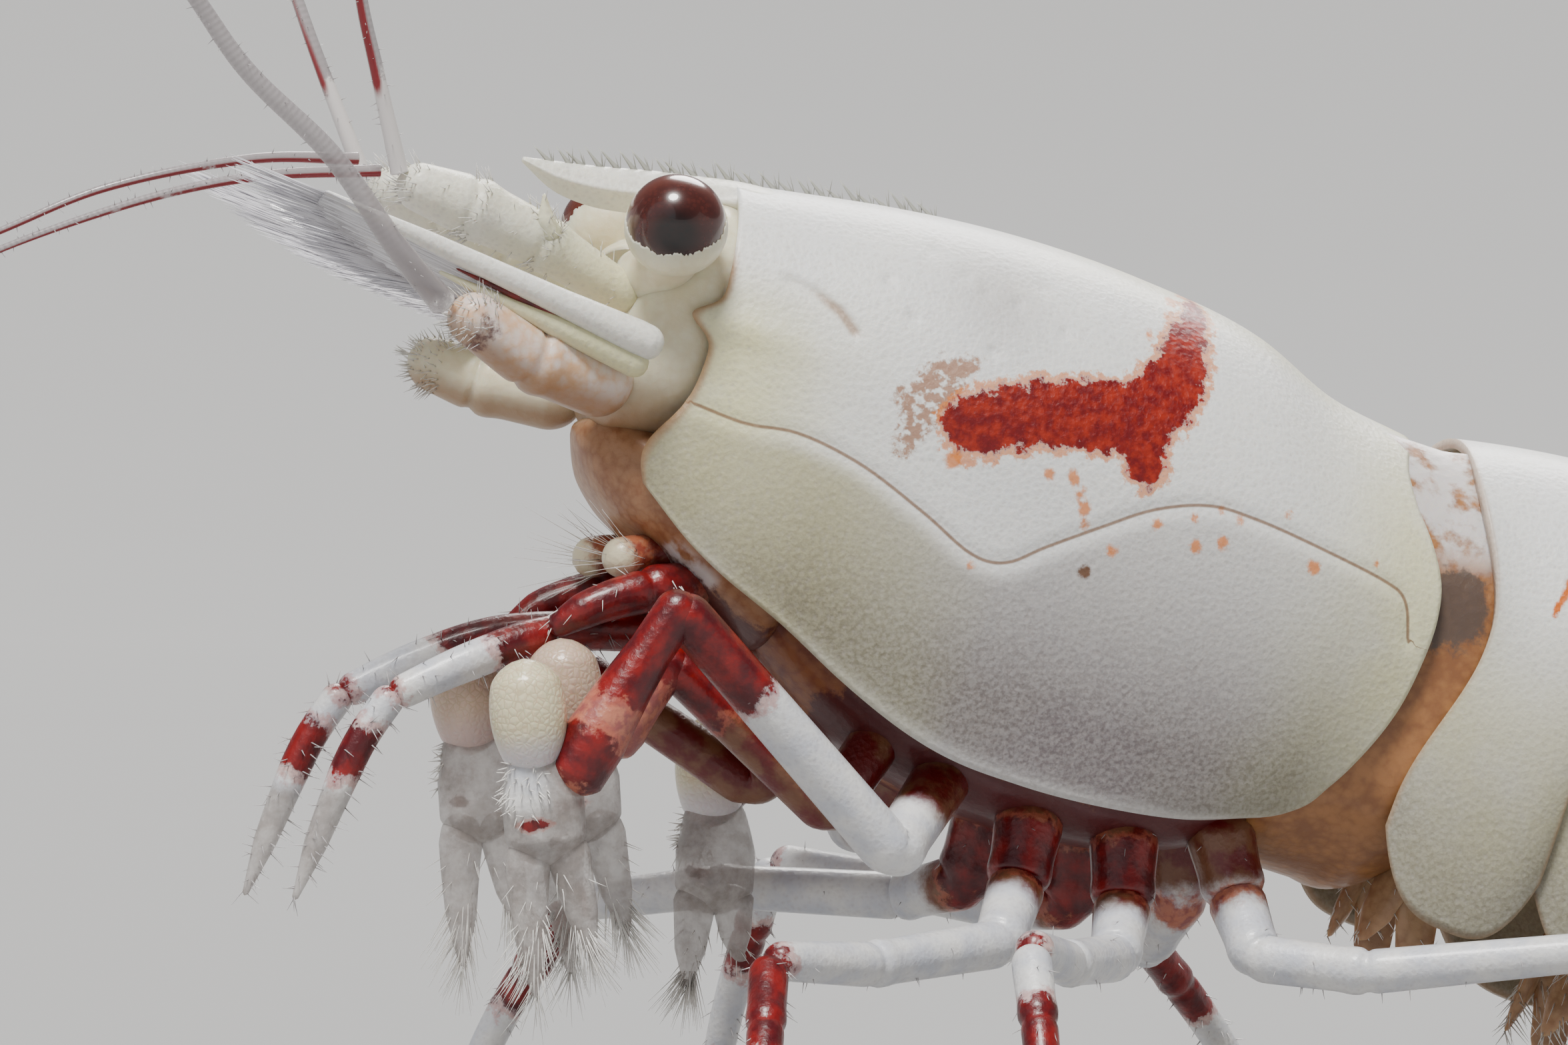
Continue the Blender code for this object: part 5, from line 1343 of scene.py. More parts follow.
def paint(patch, red=(), orange=(), amber=(), clear=()):
    """Mark the stretches of a limb that are crimson, orange, amber and glassy, as lengths from its root."""
    along = patch["marks"]["along"]
    colours = {"red": red, "orange": orange, "amber": amber, "clear": clear}
    patch["marks"].update({name: bands(along, stretches) for name, stretches in colours.items()})
    return cover(patch, cream=0.0)


def limb_root(s, y, sign):
    """Give a limb's first two places, inside the thorax's underside and square out from there."""
    step = 0.1
    level = thorax_floor(s)
    slope = (thorax_floor(s + step) - thorax_floor(s - step)) / (2 * step)
    ahead, up = slope / math.hypot(slope, 1), -1 / math.hypot(slope, 1)
    inside = front(s - ahead * ROOT_DEPTH, level - up * ROOT_DEPTH, (y - 0.1) * sign)
    return [inside, front(s + ahead * ROOT_REACH, level + up * ROOT_REACH, (y + 0.12) * sign)]


def point_normals(patch):
    """Give the outward direction at each point, the mean of the faces that meet there."""
    points, quads = patch["points"], patch["quads"]
    normals = np.cross(points[quads[:, 2]] - points[quads[:, 0]], points[quads[:, 3]] - points[quads[:, 1]])
    total = np.zeros_like(points)
    for corner in range(4):
        np.add.at(total, quads[:, corner], normals)
    return total / np.maximum(np.linalg.norm(total, axis=1, keepdims=True), 1e-12)


def setae(patch, coat, low=0.0, high=BEYOND, lean=(0, 0, -1), near=None):
    """Scatter a coat of hairs over a limb between two lengths along it, standing out and leaning one way.

    A coat is count, length, radius and how unevenly the hairs stand. Near is a middle and a reach
    that keep the hairs within that reach of the middle.
    """
    count, length, radius, spread = coat
    along = patch["marks"]["along"]
    inside = (along > low) & (along < high)
    if near is not None:
        inside &= distance_from(patch, near[0]) < near[1]
    picks = np.flatnonzero(inside)
    picks = RNG.choice(picks, size=min(count, len(picks)), replace=False)
    normals = point_normals(patch)[picks]
    ways = normals + np.array(lean) * COAT_LEAN + RNG.normal(0, spread * COAT_SCATTER, normals.shape)
    unwrap = np.stack((np.clip(along[picks] / along.max(), 0, 1), RNG.uniform(0, 1, len(picks))), axis=1)
    lengths = length * RNG.uniform(0.6, 1.15, len(picks))
    return hairs(patch["points"][picks] - normals * HAIR_SINK, ways, lengths, radius, places=unwrap)


def make_claw_leg(name, sizes, sign):
    """A claw leg: a jointed arm and a forearm, which carries the claw."""
    second = "_2_" in name
    shoulder, elbow, wrist = (np.array(place) for place in (*sizes["arm"], sizes["wrist"]))
    root = limb_root(sizes["root"], CLAW_ROOT_OUT, sign)[0]
    arm_end = elbow + unit(elbow - shoulder) * ARM_OVERLAP
    arm = limb((root, shoulder, arm_end), SECOND_ARM_RADII if second else FIRST_ARM_RADII)
    reach = length_of(arm)
    if second:
        paint(arm, red=[(reach - 1.45, BEYOND)], amber=[(BEFORE, 1.1)])
    else:
        paint(arm, red=[(reach - 0.9, BEYOND)], amber=[(BEFORE, BEYOND)])
    make(name + "_arm_skin", arm, LIMB, [name + "_arm"])
    bow = (elbow + wrist) / 2 + np.array(FOREARM_BOW)
    hinge = elbow + unit(elbow - wrist) * HINGE_OVERLAP
    forearm = tube(curved((hinge, bow, wrist), 8), FOREARM_PROFILE, 24, 0.035)
    reach = length_of(forearm)
    if second:
        paint(forearm, red=[(BEFORE, 0.55 * reach), (0.72 * reach, 0.96 * reach)],
              orange=[(0.2 * reach, BEYOND)])
    else:
        paint(forearm, red=[(BEFORE, 0.30 * reach)], orange=[(BEFORE, BEYOND)])
    make_claw(name, sizes, sign, forearm)


def make_claw(name, sizes, sign, forearm):
    """An egg-shaped palm and a glassy hand with two pointed fingers, a tuft and bristles.

    The egg's radius is a power of a sine over the share of its length.
    """
    palm, tip = np.array(sizes["palm"]), np.array(sizes["tip"])
    way = unit(tip - palm)
    side_way = np.cross(way, (0.0, 1.0, 0.0))
    share = np.linspace(0, 1, 25)
    egg = PALM_RADIUS * np.sin(math.pi * (0.17 + 0.73 * share)) ** 0.6
    bulb = tube(np.linspace(palm - way * 0.42, palm + way * 0.86, 8), tuple(zip(share, egg)), 36, 0.03)
    make(name + "_palm_skin", cover(bulb, pink=0.0 if "_2_" in name else 0.7), PALM)
    middle = palm + side_way * 0.07
    route = curved((palm + way * 0.42, middle + way * 1.0, middle + way * 1.85), 8)
    hand = paint(tube(route, HAND_PROFILE, 28, 0.03, flatten=0.62))
    facing = np.array((0, sign * 0.26, 0))
    tuft = palm + way * 0.98 - side_way * 0.22 + facing
    dash = palm + way * 1.38 - side_way * 0.10 + facing
    hand["marks"]["clear"] = distance_from(hand, tuft) - 0.30
    across = np.abs((hand["points"] - dash) @ way)
    hand["marks"]["red"] = 0.30 - distance_from(hand, dash) * 1.8 - across * 2.5
    pieces = [forearm, hand]
    bristles = [setae(hand, HAND_TUFT, lean=way * 0.6, near=(tuft, 0.34))]
    for turn, middle_out, end_out, reach in FINGERS:
        lean = side_way * turn
        start = middle + way * 1.48 + lean * 0.20
        bend = middle + way * 2.2 + lean * middle_out
        route = curved((start, bend, tip + lean * end_out + way * reach), 10)
        finger = tube(route, FINGER_PROFILE, 20, 0.03, flatten=0.65)
        pieces.append(paint(finger, clear=[(BEFORE, BEYOND)]))
        bristles.append(setae(finger, FINGER_BRUSH, low=1.0, lean=way * 2.0 + lean * 0.7))
        bristles.append(setae(finger, FINGER_SIDE_HAIRS, low=0.4, high=1.0, lean=way * 1.2 + lean * 0.8))
    make(name + "_claw_skin", pieces, LIMB, [name + "_claw"])
    make(name + "_bristles", bristles, BRISTLE)


def make_walking_leg(name, sizes, sign):
    """A walking leg: short root lengths, a long thigh and a bowed shank that ends in a point on the floor."""
    knee = np.array(sizes["knee"])
    foot = np.array((*sizes["foot"], FOOT_HEIGHT))
    middle = (knee + foot) / 2 + np.array((0, sign * SHANK_BOW * 0.5, SHANK_BOW))
    root = limb_root(sizes["root"], LEG_ROOT_OUT, sign)
    thigh = limb((*root, *sizes["thigh"], knee), THIGH_RADII)
    reach = length_of(thigh)
    if "_5_" in name:
        paint(thigh, amber=[(BEFORE, 0.95)], orange=[(1.0, 1.35)])
    else:
        paint(thigh, amber=[(BEFORE, 1.45)], red=[(0.40, 1.15), (reach - 0.12, BEYOND)])
    make(name + "_thigh_skin", thigh, LIMB, [name + "_upper"])
    shank = tube(curved((knee, middle, foot), 14), SHANK_PROFILE, 20, 0.04, joints=(1.05,))
    reach = length_of(shank)
    start = 0.8 if "_4_" in name else BEFORE
    paint(shank, red=[(start, 1.5), (0.55 * reach, 0.70 * reach)], clear=[(0.86 * reach, BEYOND)])
    make(name + "_shank_skin", shank, LIMB, [name + "_lower"])
    spines = [setae(thigh, THIGH_HAIRS), setae(shank, SHANK_HAIRS, high=reach - 0.3)]
    make(name + "_setae", spines, HAIR)


def make_maxilliped(side, sign):
    """The slender last mouth limb in jointed lengths, red, white, red and glassy."""
    root = limb_root(MAXILLIPED_ROOT, MAXILLIPED_ROOT_OUT, sign)[0]
    far = np.array(MAXILLIPED) * (1, sign, 1) + (MAXILLIPED_SHIFT[side], 0, 0)
    first = tube(curved((root, *far[:4]), 8), MAXILLIPED_PROFILE, 20, 0.04)
    reach = length_of(first)
    paint(first, red=[(0.9, reach - 1.25), (reach - 0.10, BEYOND)], amber=[(BEFORE, 1.4)])
    bend = far[3] - (far[4] - far[3]) * 0.2
    second = tube(curved((bend, *far[4:]), 8), MAXILLIPED_END_PROFILE, 20, 0.03)
    paint(second, red=[(BEFORE, 0.08), (0.55, 1.15)], clear=[(1.35, BEYOND)])
    make("maxilliped_skin_" + side, [first, second], LIMB, ["maxilliped_" + side])
    fine = [setae(first, MAXILLIPED_HAIRS, low=2.0, lean=(0.3, 0, -0.4)),
            setae(second, MAXILLIPED_END_HAIRS, lean=(0.3, 0, -0.5))]
    make("maxilliped_setae_" + side, fine, HAIR)


def make_mouth_leg(side, sign):
    """The short folded limbs before the claws: one ends in a pale knob, the one below is crimson."""
    upper = tube(curved(np.array(MOUTH_LEG) * (1, sign, 1), 8), KNOB_PROFILE, 22, 0.03)
    reach = length_of(upper)
    paint(upper, amber=[(BEFORE, 0.62 * reach)], orange=[(0.55 * reach, 0.78 * reach)])
    cover(upper, cream=0.9)
    route = curved(np.array(MOUTH_LEG_LOW) * (1, sign, 1), 8)
    lower = tube(route, LOW_MOUTH_LEG_PROFILE, 22, 0.03, joints=(0.9,))
    paint(lower, red=[(0.4, BEYOND)], amber=[(BEFORE, 0.5)])
    make("mouth_leg_skin_" + side, [upper, lower], LIMB)
    plumes = [setae(upper, KNOB_PLUME, low=0.6 * reach, lean=(-1.5, 0, 0.5)), setae(lower, LOW_LEG_HAIRS)]
    make("mouth_leg_setae_" + side, plumes, BRISTLE)


def feeler(route, radius, tip, stripe=True, white=0.0):
    """A tapering feeler whose skin swells a little at every ring, with a narrow stripe along its lower side.

    White is the length from the root over which it is white.
    """
    places, walked = spaced(curved(route, 14), RING_STEP / 4)
    share = walked / walked[-1]
    swell = RING_SWELL * np.clip(walked / 3, 0, 1) * np.sin(2 * math.pi * walked / RING_STEP)
    size = (radius + (tip - radius) * share**0.6) * (1 + swell)
    ring = ring_ways(turns(FEELER_AROUND), *cross_ways(places))
    patch = closed_grid(places[:, None] + ring * size[:, None, None])
    start = climb(walked, white - 0.35, white - 0.05)[:, None]
    lower = np.clip(ring @ STRIPE_WAY * 1.8 - 0.5, 0, 1) * start * stripe
    patch["marks"] = {"along": ring_mark(walked, FEELER_AROUND),
                      "stripe": np.concatenate((lower.ravel(), [0, 0])),
                      "white": ring_mark(white - walked, FEELER_AROUND)}
    return patch


def feeler_hairs(patch, step, length):
    """Set short hairs along both sides of a feeler, one pair to every few rings."""
    along = patch["marks"]["along"]
    last, count = len(along) - 3, int(along.max() / step) * 2
    picks = np.linspace(0, last, count).astype(int) + RNG.integers(0, 10, count)
    picks = np.clip(picks, 0, last)
    normals = point_normals(patch)[picks]
    ways = normals + RNG.normal(0, 0.2, normals.shape)
    unwrap = np.stack((along[picks] / along.max(), np.full(count, 0.5)), axis=1)
    lengths = length * RNG.uniform(0.7, 1.2, count)
    return hairs(patch["points"][picks] - normals * HAIR_SINK, ways, lengths, 0.006, rings=3, places=unwrap)


def make_antennule(side, sign):
    """The upper feeler's stalk in three lengths with tufts at their ends, and the barb on it."""
    stalk = limb(front_side(ANTENNULE, sign), ANTENNULE_RADII, round_off=0.5, around=30)
    barb = tube(front_side(BARB, sign), BARB_PROFILE, 14, 0.02)
    skin = join([stalk, barb])
    skin["marks"]["cream"] = np.clip(1.0 - skin["marks"]["along"] * 0.22, 0.25, 1.0)
    make("antennule_skin_" + side, skin, PLATE, ["antennule_" + side])
    tufts = [setae(stalk, STALK_TUFT, low=joint - 0.15, high=joint + 0.03, lean=(-0.9, 0, 0.3))
             for joint in STALK_JOINTS]
    tufts.append(setae(stalk, STALK_HAIRS, lean=(-0.8, 0, 0)))
    tufts.append(setae(barb, BARB_HAIRS, lean=(0, 0, 0.8)))
    make("antennule_setae_" + side, tufts, WHITE_HAIR)


def make_antenna_base(side, sign):
    """The fleshy base of the lower feeler, darker below, with a fleck and a wreath of hairs at its end."""
    route = front_side(ANTENNA_BASES[side], sign)
    base = limb(route, ANTENNA_BASE_RADII, round_off=0.5, around=30)
    fleck = route[2] * 0.7 + route[1] * 0.3 + np.array((0, sign * 0.2, -0.15))
    base["marks"]["red"] = 0.10 - distance_from(base, fleck)
    middle = np.interp(-base["points"][:, 0], -route[:, 0], route[:, 2])
    base["marks"]["shade"] = np.clip((middle - 0.05 - base["points"][:, 2]) / 0.28, 0, 0.8)
    flesh = BASE_FLESH if side == "left" else HEAD_FLESH
    make("antenna_base_skin_" + side, base, flesh, ["antenna_base_" + side])
    wreath = setae(base, BASE_WREATH, low=length_of(base) - 0.45, lean=(-0.8, 0, 0.2))
    make("antenna_base_setae_" + side, wreath, WHITE_HAIR)


def make_feelers(side, sign):
    """The antennule, the antenna's base and their whips on one side."""
    make_antennule(side, sign)
    make_antenna_base(side, sign)
    for kind, radius, white in (("inner", FEELER_RADIUS, 0.0), ("outer", OUTER_RADIUS, 1.1)):
        name = f"antennule_whip_{kind}_{side}"
        whip = feeler(ANTENNULE_WHIPS[name], radius, 0.02, white=white)
        make(name + "_skin", whip, FEELER, [name])
        make(name + "_hairs", feeler_hairs(whip, 0.16, 0.09), HAIR)
    name = "antenna_whip_" + side
    whip = feeler(ANTENNA_WHIPS[name], ANTENNA_RADIUS, 0.025, stripe=False)
    make(name + "_skin", whip, FEELER, [name + "_near", name + "_far"])
    make(name + "_hairs", feeler_hairs(whip, 0.2, 0.08), HAIR)


def scale_width(share):
    """Give the width of the antenna's scale at a share of its length: a sine at first, round at the tip."""
    width = SCALE_WIDTH * (0.32 + 0.68 * np.sin(math.pi * np.minimum(1, share * 1.15) * 0.5))
    return width * np.sqrt(np.maximum(0.02, 1 - np.maximum(0.0, share - 0.6) ** 2 / 0.165))


def scale_place(share, inward, rise, sign):
    """Give a place on the antenna's scale, inward from its outer edge and risen from its middle."""
    root, tip = np.array(SCALE_ROOT), np.array(SCALE_TIP)
    s, h, y = (root[axis] * (1 - share) + tip[axis] * share for axis in range(3))
    y = y + 0.25 - inward * math.cos(SCALE_TILT)
    return front(s, h - inward * math.sin(SCALE_TILT) + rise, y * sign)


def make_scale(side, sign):
    """The broad blade beside the antenna, a flat oval in section, with two ridges and a thin dark line."""
    rows, around = SCALE_GRID
    share = np.linspace(0.05, 0.99, rows)[:, None]
    inward = scale_width(share) * (1 - np.cos(turns(around))) / 2
    blade = closed_grid(scale_place(share, inward, SCALE_HALF_THICKNESS * np.sin(turns(around)), sign))
    blade["marks"] = {"share": ring_mark(share[:, 0], around),
                      "inward": np.concatenate((inward.ravel(), inward[[0, -1], 0]))}
    make("antenna_scale_skin_" + side, blade, BLADE, ["antenna_scale_" + side])
    ridge = tube(scale_place(np.linspace(-0.03, 0.985, 20), 0.08, 0.03, sign), RIDGE_PROFILE, 26, 0.02)
    under = tube(scale_place(np.linspace(-0.01, 0.62, 14), 0.16, -0.19, sign), LOW_RIDGE_PROFILE, 18, 0.02)
    ridges = [cover(ridge, cream=0.15), cover(under, cream=1.0)]
    make("antenna_scale_ridge_" + side, ridges, PLATE)
    line = tube(scale_place(np.linspace(0.22, 0.58, 8), 0.12, -0.10, sign), SCALE_LINE_PROFILE, 10, 0.03)
    make("antenna_scale_line_" + side, paint(line, red=[(BEFORE, BEYOND)]), LIMB)


def make_scale_fringe(side, sign):
    """The dense fringe round the blade's inner edge and tip: long hairs that turn forward toward the tip."""
    ease = np.sort(RNG.uniform(0, 1, FRINGE_HAIRS))
    at = 0.30 + 0.70 * ease
    lean = np.radians(38 * (1 - ease))
    edge = scale_width(at) * (1 - 0.45 * climb(ease, 0.6, 1.0) * RNG.uniform(0, 1.6, FRINGE_HAIRS))
    roots = scale_place(at - 0.01, edge - 0.05, RNG.uniform(-0.03, 0.03, FRINGE_HAIRS), sign)
    span = SCALE_TIP[0] - SCALE_ROOT[0]
    length = (0.55 + 0.55 * ease) * RNG.uniform(0.85, 1.05, FRINGE_HAIRS)
    tips = scale_place(at + length * np.cos(lean) / span, edge + length * np.sin(lean),
                       RNG.uniform(-0.08, 0.02, FRINGE_HAIRS), sign)
    fringe = hairs(roots, tips - roots, np.linalg.norm(tips - roots, axis=1), 0.014,
                   places=np.stack((at, np.full(FRINGE_HAIRS, 0.9)), axis=1))
    make("antenna_scale_fringe_" + side, fringe, PALE_HAIR)


def back_line():
    """Walk down the abdomen's back in short steps, and give its arc lengths and places."""
    arcs = np.linspace(0, ABDOMEN_STATIONS[-1][0], BACK_STEPS)
    slopes = np.radians(smooth(arcs, ABDOMEN_STATIONS, 1))[:-1]
    x = ABDOMEN_START[0] + np.concatenate(([0], np.cumsum(np.cos(slopes) * arcs[1])))
    z = ABDOMEN_START[1] - np.concatenate(([0], np.cumsum(np.sin(slopes) * arcs[1])))
    return arcs, x, z


BACK_LINE = back_line()


def rear(arc, depth, y, along=0.0):
    """Turn places of the abdomen, by arc length and depth under the back, into x, y and z."""
    arcs, xs, zs = BACK_LINE
    arc, depth, y, along = np.broadcast_arrays(arc, depth, y, along)
    tilt = np.radians(smooth(arc, ABDOMEN_STATIONS, 2))
    x = np.interp(arc, arcs, xs) - depth * np.sin(tilt) + along * np.cos(tilt)
    z = np.interp(arc, arcs, zs) - depth * np.cos(tilt) - along * np.sin(tilt)
    return np.stack((x, y, z), axis=-1).astype(float)


def make_somite(number):
    """One ring of the abdomen: a thin vaulted shell whose side plates hang down and round off.

    The first ring's front margin bows backward by the square of a sine over its height.
    """
    start = SOMITE_ENDS[number - 1] + (0.25 if number == 1 else 0.02)
    length = SOMITE_ENDS[number] + 0.10 - start
    share, drop, side = vault_grid(1, *RING_GRID)
    arc = start + length * share
    half_width, plates = smooth(arc, ABDOMEN_STATIONS, 3), smooth(arc, ABDOMEN_STATIONS, 4)
    plates = plates * (1 - PLATE_ROUNDING * np.abs(2 * share - 1) ** 3)
    half_width = half_width * (0.965 + 0.055 * share)
    bow = REAR_BULGE * np.sin(math.pi * np.clip(drop * plates / REAR_HEIGHT, 0, 1)) ** 2
    along = (1 - share) * bow if number == 1 else 0.0
    edge = np.minimum((1 - drop) * 5, np.minimum(share, 1 - share) * length)
    # The haze grows toward the plates' lower edges: partly their own grey-violet tone, partly painted shade
    # low on the flanks.
    marks = {"lilac_and_shade": climb(drop, 0.32, 0.92) * 0.9, "cream": hump(drop, 0.75, 0.30) * 0.8,
             "rim": hump(edge, 0, 0.05) * 0.6}
    if number == 1:
        marks["streak"] = -distance_to_line(np.stack((arc, plates * drop), axis=-1), STREAK)
    points = rear(arc, plates * drop, half_width * flank(drop, PLATE_TUCK) * side, along)
    make_vault(f"abdomen_shell_{number}", open_grid(points, marks), PLATE, f"abdomen_{number}")


def make_belly():
    """The soft muscle of the abdomen inside its shells, which shows between the plates and below.

    Its flanks follow the plates from inside, and its floor is rounded. It starts under the shield.
    """
    rows, around = BELLY_GRID
    a = np.linspace(*BELLY_SPAN, rows)[:, None]
    arc, along = np.maximum(a, 0), np.minimum(a, 0)
    half_width, plates, belly = (smooth(arc, ABDOMEN_STATIONS, column) for column in (3, 4, 5))
    belly = belly + 1.95 * hump(arc, 0.2, 1.35)
    turn = turns(around)
    depth = 0.18 + (belly - 0.18) * (1 - np.cos(turn)) / 2
    foot = np.sqrt(np.clip(1 - np.maximum(0, (depth / belly - 0.72) / 0.28) ** 2, 0, 1))
    width = (half_width - 0.22) * flank(depth / plates, PLATE_TUCK) * foot * np.sign(np.sin(turn))
    muscle = closed_grid(rear(arc, depth, width, along))
    muscle["marks"]["red"] = 0.50 - distance_from(muscle, rear(*BELLY_STAIN))
    frost = climb(depth, 1.65, 1.25) * climb(a, 1.2, 0.6)
    muscle["marks"]["frost"] = np.concatenate((frost.ravel(), [0, 0]))
    make("abdomen_muscle", muscle, MEMBRANE)


def make_tail_piece(name, node, arc, half_width, depth):
    """A whole ring of the abdomen's end along arc: a full oval under the back, rounded off behind."""
    arc, half_width, half = arc[:, None], half_width[:, None], depth[:, None] / 2
    cap = rounded((arc[-1] - arc) / TAIL_ROUNDING, BODY_END)
    turn = turns(TAIL_GRID[1])
    across, up = signed_power(np.cos(turn), TAIL_POWER), signed_power(np.sin(turn), TAIL_POWER)
    patch = closed_grid(rear(arc, half - half * up * cap, half_width * across * cap))
    make(name, cover(patch, cream=0.2), PLATE, [node])


def make_tail():
    """The whole sixth ring and the tapering telson."""
    arc = np.linspace(*SIXTH_SPAN, TAIL_GRID[0])
    half_width, depth = smooth(arc, ABDOMEN_STATIONS, 3), smooth(arc, ABDOMEN_STATIONS, 5)
    make_tail_piece("abdomen_shell_6", "abdomen_6", arc, half_width, depth)
    arc = np.linspace(*TELSON_SPAN, TAIL_GRID[0])
    share = np.linspace(0, 1, TAIL_GRID[0])
    make_tail_piece("telson_shell", "telson", arc, 0.70 - 0.44 * share**1.3, 0.74 - 0.34 * share)


def make_uropods(side, sign):
    """The two blades of the tail fan on one side, each with a middle ray and a long fringe.

    A blade is a thin oval in section, as wide as a sine at first and round at its end.
    """
    arc, y, depth = UROPOD_ROOT
    root, hub = rear(arc - 0.25, depth, y * sign), rear(arc + 0.55, depth, (y + 0.16) * sign)
    pieces, fringe = [tube(np.linspace(root, hub, 6), UROPOD_STALK_PROFILE, 22, 0.04)], []
    slope = math.radians(smooth(UROPOD_SLOPE_ARC, ABDOMEN_STATIONS, 2))
    back, down = math.cos(slope), math.sin(slope)
    rows, around = UROPOD_GRID
    share, turn = np.linspace(0, 1, rows)[:, None], turns(around)
    for turn_out, length, half_width in UROPOD_BLADES:
        ahead = np.array((back * math.cos(turn_out), sign * math.sin(turn_out), -down * math.cos(turn_out)))
        aside = np.array((-back * math.sin(turn_out), sign * math.cos(turn_out), down * math.sin(turn_out)))
        up = np.cross(ahead, aside)
        up = up * np.sign(up[2])
        width = half_width * (0.38 + 0.62 * np.sin(math.pi * np.minimum(share * 1.4, 1) / 2))
        width = width * np.sqrt(np.clip(1 - np.maximum(0.0, (share - 0.6) / 0.402) ** 2, 0.002, 1))
        thick = 0.05 + 0.07 * hump(np.cos(turn), 0, 0.16) * (1 - share)
        centre = hub + ahead * (length * share - 0.2)[..., None]
        points = centre + aside * (width * np.cos(turn))[..., None] + up * (thick * np.sin(turn))[..., None]
        pieces.append(closed_grid(points))
        lean = np.linspace(-1, 1, UROPOD_HAIRS) + RNG.uniform(-0.01, 0.01, UROPOD_HAIRS)
        out = np.sqrt(np.clip(1 - np.abs(lean) ** 3, 0, 1))
        edge = hub + ahead * (length * (0.60 + 0.37 * out) - 0.2)[:, None]
        edge = edge + aside * (half_width * lean * 0.92)[:, None]
        way = ahead * np.cos(lean * 0.75)[:, None] + aside * np.sin(lean * 0.75)[:, None]
        lengths = (0.32 + 0.22 * out) * RNG.uniform(0.85, 1.1, UROPOD_HAIRS)
        unwrap = np.stack((np.clip(lean * 0.5 + 0.5, 0, 1), np.full(UROPOD_HAIRS, 0.5)), axis=1)
        fringe.append(hairs(edge - way * 0.06, way, lengths, 0.012, places=unwrap))
    skin = cover({**join(pieces), "marks": {}}, cream=0.15)
    make("uropod_skin_" + side, skin, PLATE, ["uropods_" + side])
    make("uropod_fringe_" + side, fringe, PALE_HAIR)


def make_swimmerets(number):
    """A pair of paddles under one ring of the abdomen, each with two leaf-shaped blades and a fringe."""
    arc = (SOMITE_ENDS[number - 1] + SOMITE_ENDS[number]) / 2
    belly = smooth(arc, ABDOMEN_STATIONS, 5)
    length = SWIMMERET_LENGTHS[number - 1]
    spread = min(SWIMMERET_SPREAD, smooth(arc, ABDOMEN_STATIONS, 3) * (1 - PLATE_TUCK) - 1.2)
    start = belly - 0.25
    middle = start + 0.6 + length * 0.35
    coat = FIRST_PADDLE_HAIRS if number == 1 else PADDLE_HAIRS
    pieces, fringe = [], []
    for sign in (-1.0, 1.0):
        stalk = np.linspace(rear(arc, start, spread * sign), rear(arc, middle, spread * sign), 6)
        pieces.append(tube(stalk, PADDLE_STALK_PROFILE, 18, 0.05))
        for ahead, outward, reach in PADDLE_BLADES:
            route = curved((rear(arc, middle - 0.1, spread * sign),
                            rear(arc, middle + length * 0.3, (spread + outward / 2) * sign, ahead * 0.6),
                            rear(arc, belly + 0.35 + length * reach, (spread + outward) * sign, ahead)), 8)
            blade = tube(route, PADDLE_BLADE_PROFILE, 18, 0.05, flatten=0.35)
            pieces.append(blade)
            fringe.append(setae(blade, coat, low=0.3, lean=(0.4, 0, -1.2)))
    make(f"swimmeret_skin_{number}", pieces, PADDLE, [f"swimmerets_{number}"])
    make(f"swimmeret_fringe_{number}", fringe, BRISTLE)


def aim(thing, target):
    """Turn a lamp or the camera so that it looks at a place given in millimetres."""
    way = Vector([value * MM for value in target]) - thing.location
    thing.rotation_euler = way.to_track_quat("-Z", "Y").to_euler()


def make_floor():
    """A pale floor that rises far away into a low bowl: by the square of the distance past the flat."""
    side = np.linspace(-STAGE_REACH, STAGE_REACH, FLOOR_STEPS)
    x, y = np.meshgrid(side, side, indexing="ij")
    rise = WALL_CURVE * np.maximum(np.hypot(x, y) - FLAT_REACH, 0) ** 2
    points = np.stack((x, y, rise), axis=-1).reshape(-1, 3)
    faces = grid_faces(FLOOR_STEPS, FLOOR_STEPS, wrap=False)[:, ::-1]
    mesh = bpy.data.meshes.new("floor")
    mesh.from_pydata((points * MM).tolist(), [], faces.tolist())
    mesh.shade_smooth()
    mesh.materials.append(floor_material())
    floor = bpy.data.objects.new("floor", mesh)
    bpy.context.scene.collection.objects.link(floor)


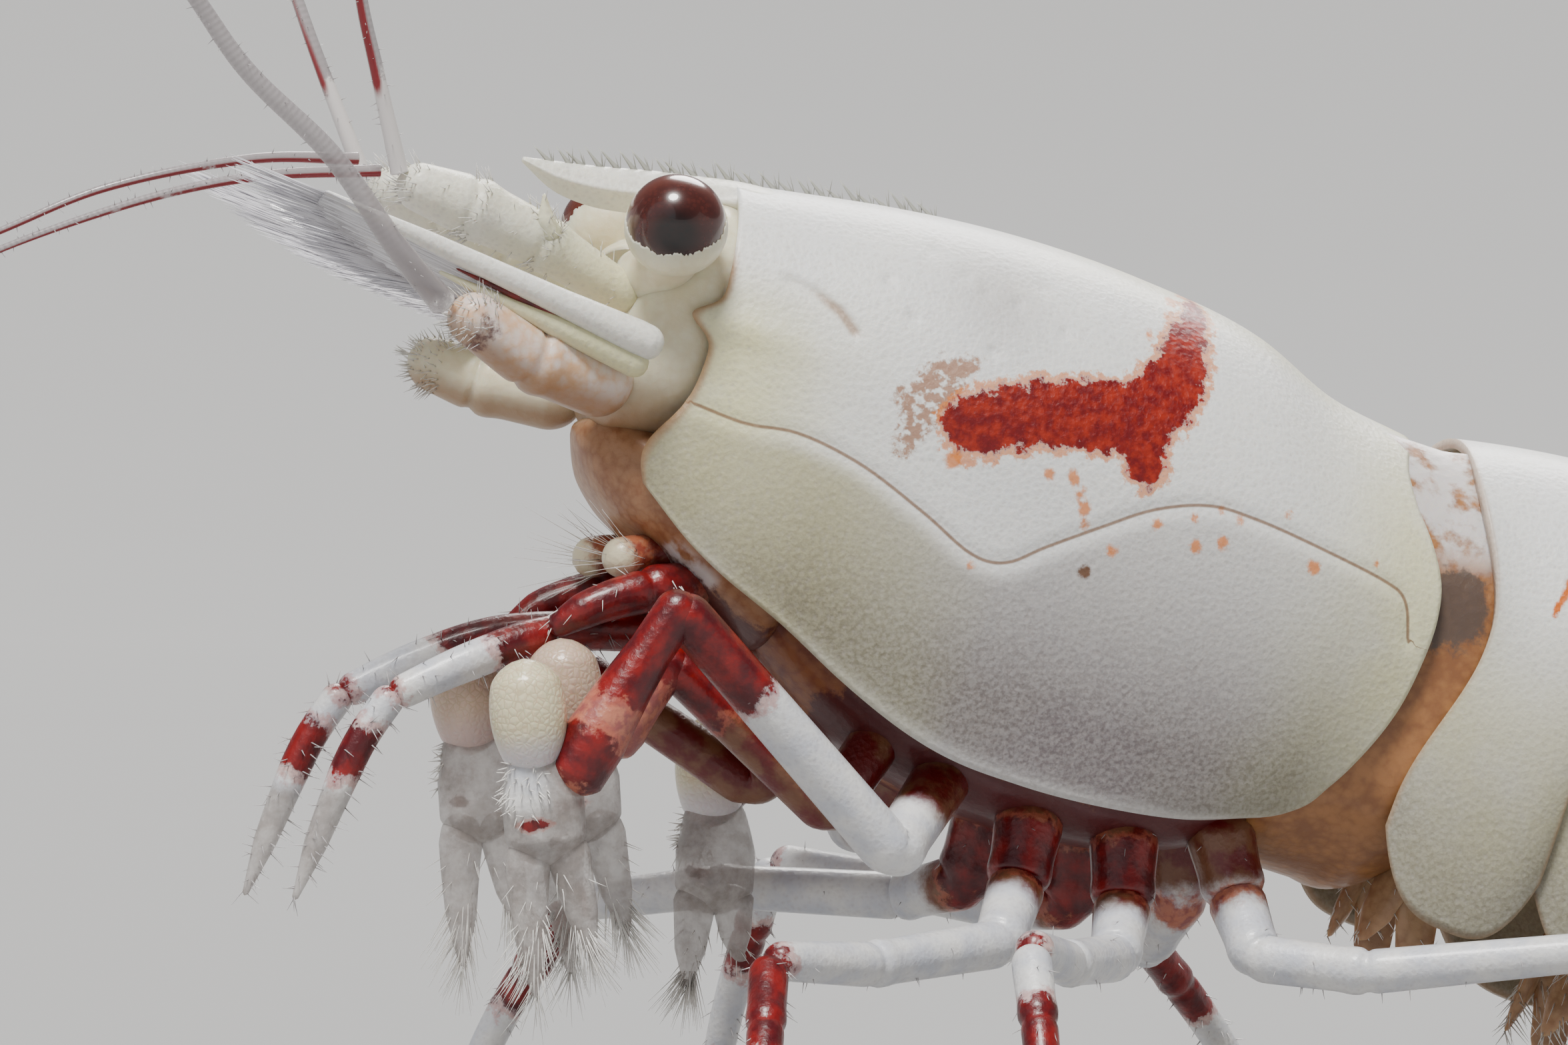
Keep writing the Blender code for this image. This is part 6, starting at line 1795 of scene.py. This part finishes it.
def make_lights():
    """Three soft lights and a dim, cool surround."""
    for name, place, strength, angle, tint in LIGHTS:
        lamp = bpy.data.lights.new(name, "SUN")
        lamp.energy = strength
        lamp.angle = math.radians(angle)
        lamp.color = tint
        thing = bpy.data.objects.new(name, lamp)
        bpy.context.scene.collection.objects.link(thing)
        thing.location = [value * MM for value in place]
        aim(thing, (0, 0, 0))
    world = bpy.data.worlds.new("studio")
    bpy.context.scene.world = world
    world.use_nodes = True
    surround = world.node_tree.nodes["Background"].inputs
    surround["Color"].default_value = (*SURROUND, 1.0)
    surround["Strength"].default_value = SURROUND_STRENGTH


def make_camera():
    """The camera, level, turned a little round the animal and framed like the photo."""
    across = np.array((math.cos(CAMERA_TURN), -math.sin(CAMERA_TURN), 0.0))
    middle = across * VIEW_MIDDLE[0] + np.array((0, 0, VIEW_MIDDLE[1])) + SHIFT
    away = np.array((math.sin(CAMERA_TURN), math.cos(CAMERA_TURN), 0.0))
    eye = bpy.data.cameras.new("camera")
    eye.sensor_width = SENSOR_WIDTH
    eye.lens = SENSOR_WIDTH * CAMERA_AWAY / VIEW_WIDTH
    eye.clip_start = 1 * MM
    eye.clip_end = 3000 * MM
    camera = bpy.data.objects.new("camera", eye)
    bpy.context.scene.collection.objects.link(camera)
    camera.location = (middle - away * CAMERA_AWAY) * MM
    aim(camera, middle)
    bpy.context.scene.camera = camera


def make_shrimp():
    """Build every piece in turn, from the shield to the tail fan."""
    make_carapace()
    make_trunk()
    make_rostrum()
    make_crest()
    for side, sign in SIDES.items():
        make_eye(side, sign)
        make_feelers(side, sign)
        make_scale(side, sign)
        make_scale_fringe(side, sign)
        make_maxilliped(side, sign)
        make_mouth_leg(side, sign)
        make_uropods(side, sign)
    for name, sizes in CLAW_LEGS.items():
        make_claw_leg(name, sizes, SIDES[name.split("_")[-1]])
    for name, sizes in WALKING_LEGS.items():
        make_walking_leg(name, sizes, SIDES[name.split("_")[-1]])
    for number in range(1, 6):
        make_somite(number)
        make_swimmerets(number)
    make_belly()
    make_tail()


make_shrimp()
make_floor()
make_lights()
make_camera()
